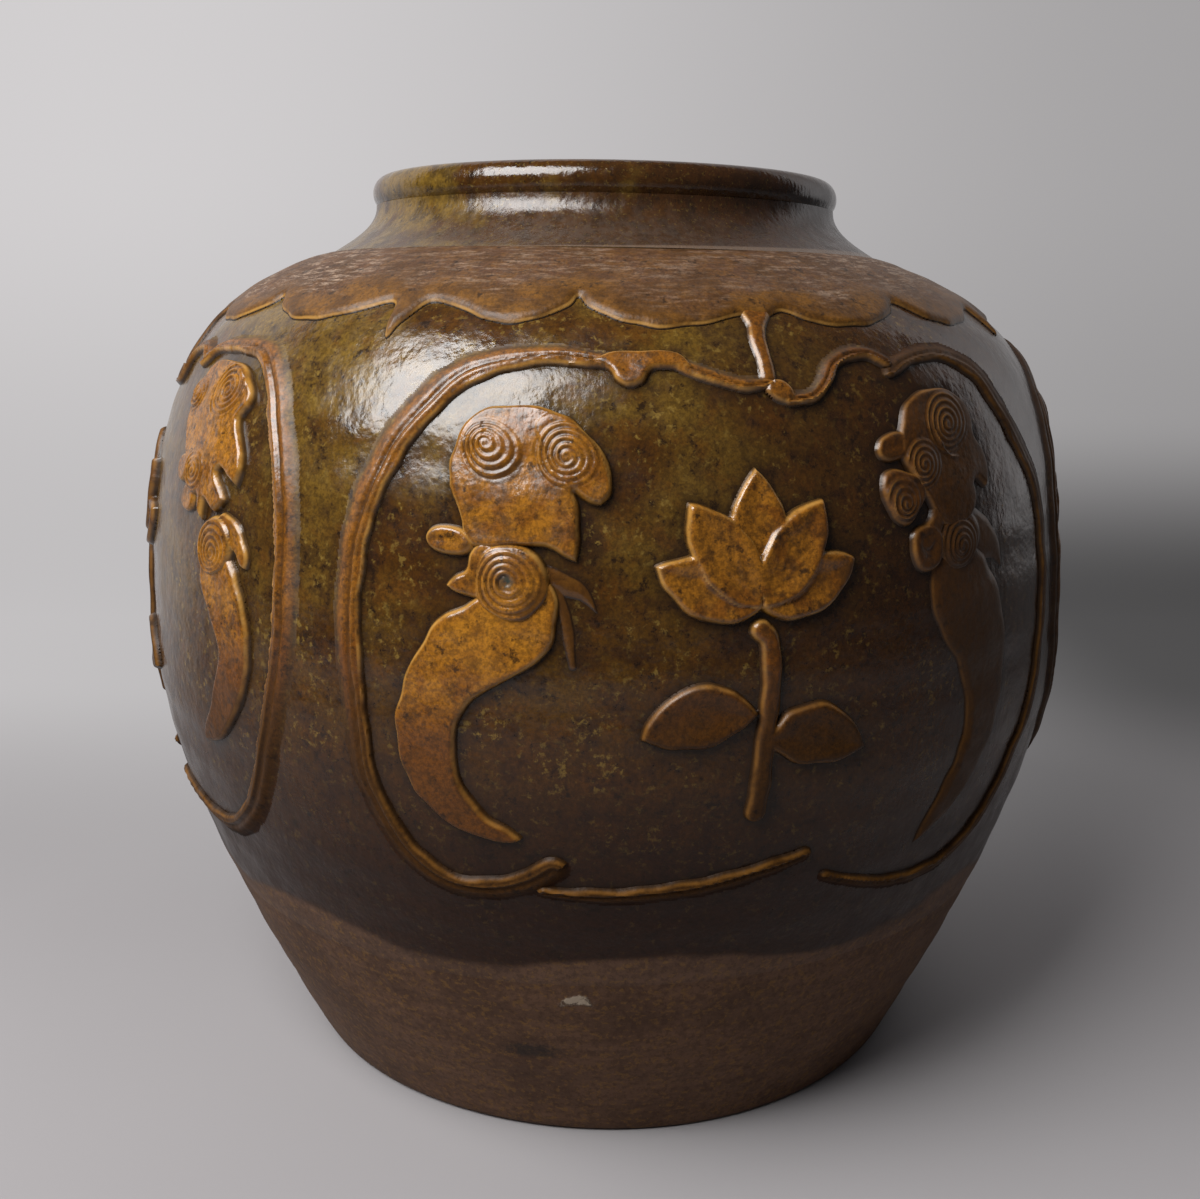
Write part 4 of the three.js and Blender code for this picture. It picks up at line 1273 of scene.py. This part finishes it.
def backdrop():
    """A floor that curves up into a wall behind the jar."""
    back, sweep, top, half, front = 0.62, 0.3, 1.9, 3.2, -1.6
    turns = np.linspace(0, math.pi / 2, 16)
    arc = [(back + sweep * math.sin(t), sweep - sweep * math.cos(t)) for t in turns]
    profile = [(front, 0), *arc, (back + sweep, top)]
    points = np.array([[(x, y, z) for x in (-half, half)] for y, z in profile]).reshape(-1, 3)
    mesh = bpy.data.meshes.new("backdrop")
    faces = [(2 * i, 2 * i + 1, 2 * i + 3, 2 * i + 2) for i in range(len(profile) - 1)]
    mesh.from_pydata(points.tolist(), [], faces)
    mesh.shade_smooth()
    mesh.materials.append(backdrop_look())
    add_object("backdrop", mesh)


def room_light():
    world = bpy.data.worlds.new("room")
    bpy.context.scene.world = world
    world.use_nodes = True
    background = world.node_tree.nodes["Background"]
    background.inputs["Color"].default_value = (*ROOM_COLOUR, 1)
    background.inputs["Strength"].default_value = ROOM_STRENGTH


def build():
    studio_camera()
    wall = wall_look("wall_glaze", GLAZE_REFRACTION)
    bare = wall_look("bare_clay", CLAY_REFRACTION)
    amber = amber_look()
    olive = neck_look("olive_glaze", 0.0)
    hazy = neck_look("hazy_glaze", 0.55)
    collar = collar_look()
    base_section(bare)
    lower = thrown_wall("lower_wall", "lower_body", BASE_JOIN_ARC, BELLY_ARC, wall)
    leave_bare(lower, bare)
    thrown_wall("upper_wall", "upper_body", BELLY_ARC, NECK_ROOT_ARC, wall)
    neck_piece(hazy)
    lip_piece(olive)
    collar_piece(collar)
    for panel, azimuth in PANELS.items():
        for part, relief, shift in panel_reliefs(panel):
            relief.pressed(f"{panel}_{part}_clay", azimuth, shift, amber, f"{panel}_{part}")
        TIE.pressed(f"{panel}_collar_tie_clay", azimuth, 0, amber, "shoulder_collar")
    lamp("key", azimuth=-42, elevation=46, distance=1.0, width=0.64, height=0.6, watts=17)
    fill = lamp("fill", azimuth=140, elevation=45, distance=1.05, width=1.0, height=0.7, watts=3)
    fill.visible_glossy = False
    room_light()
    backdrop()


build()
bpy.context.scene.view_settings.view_transform = "Standard"
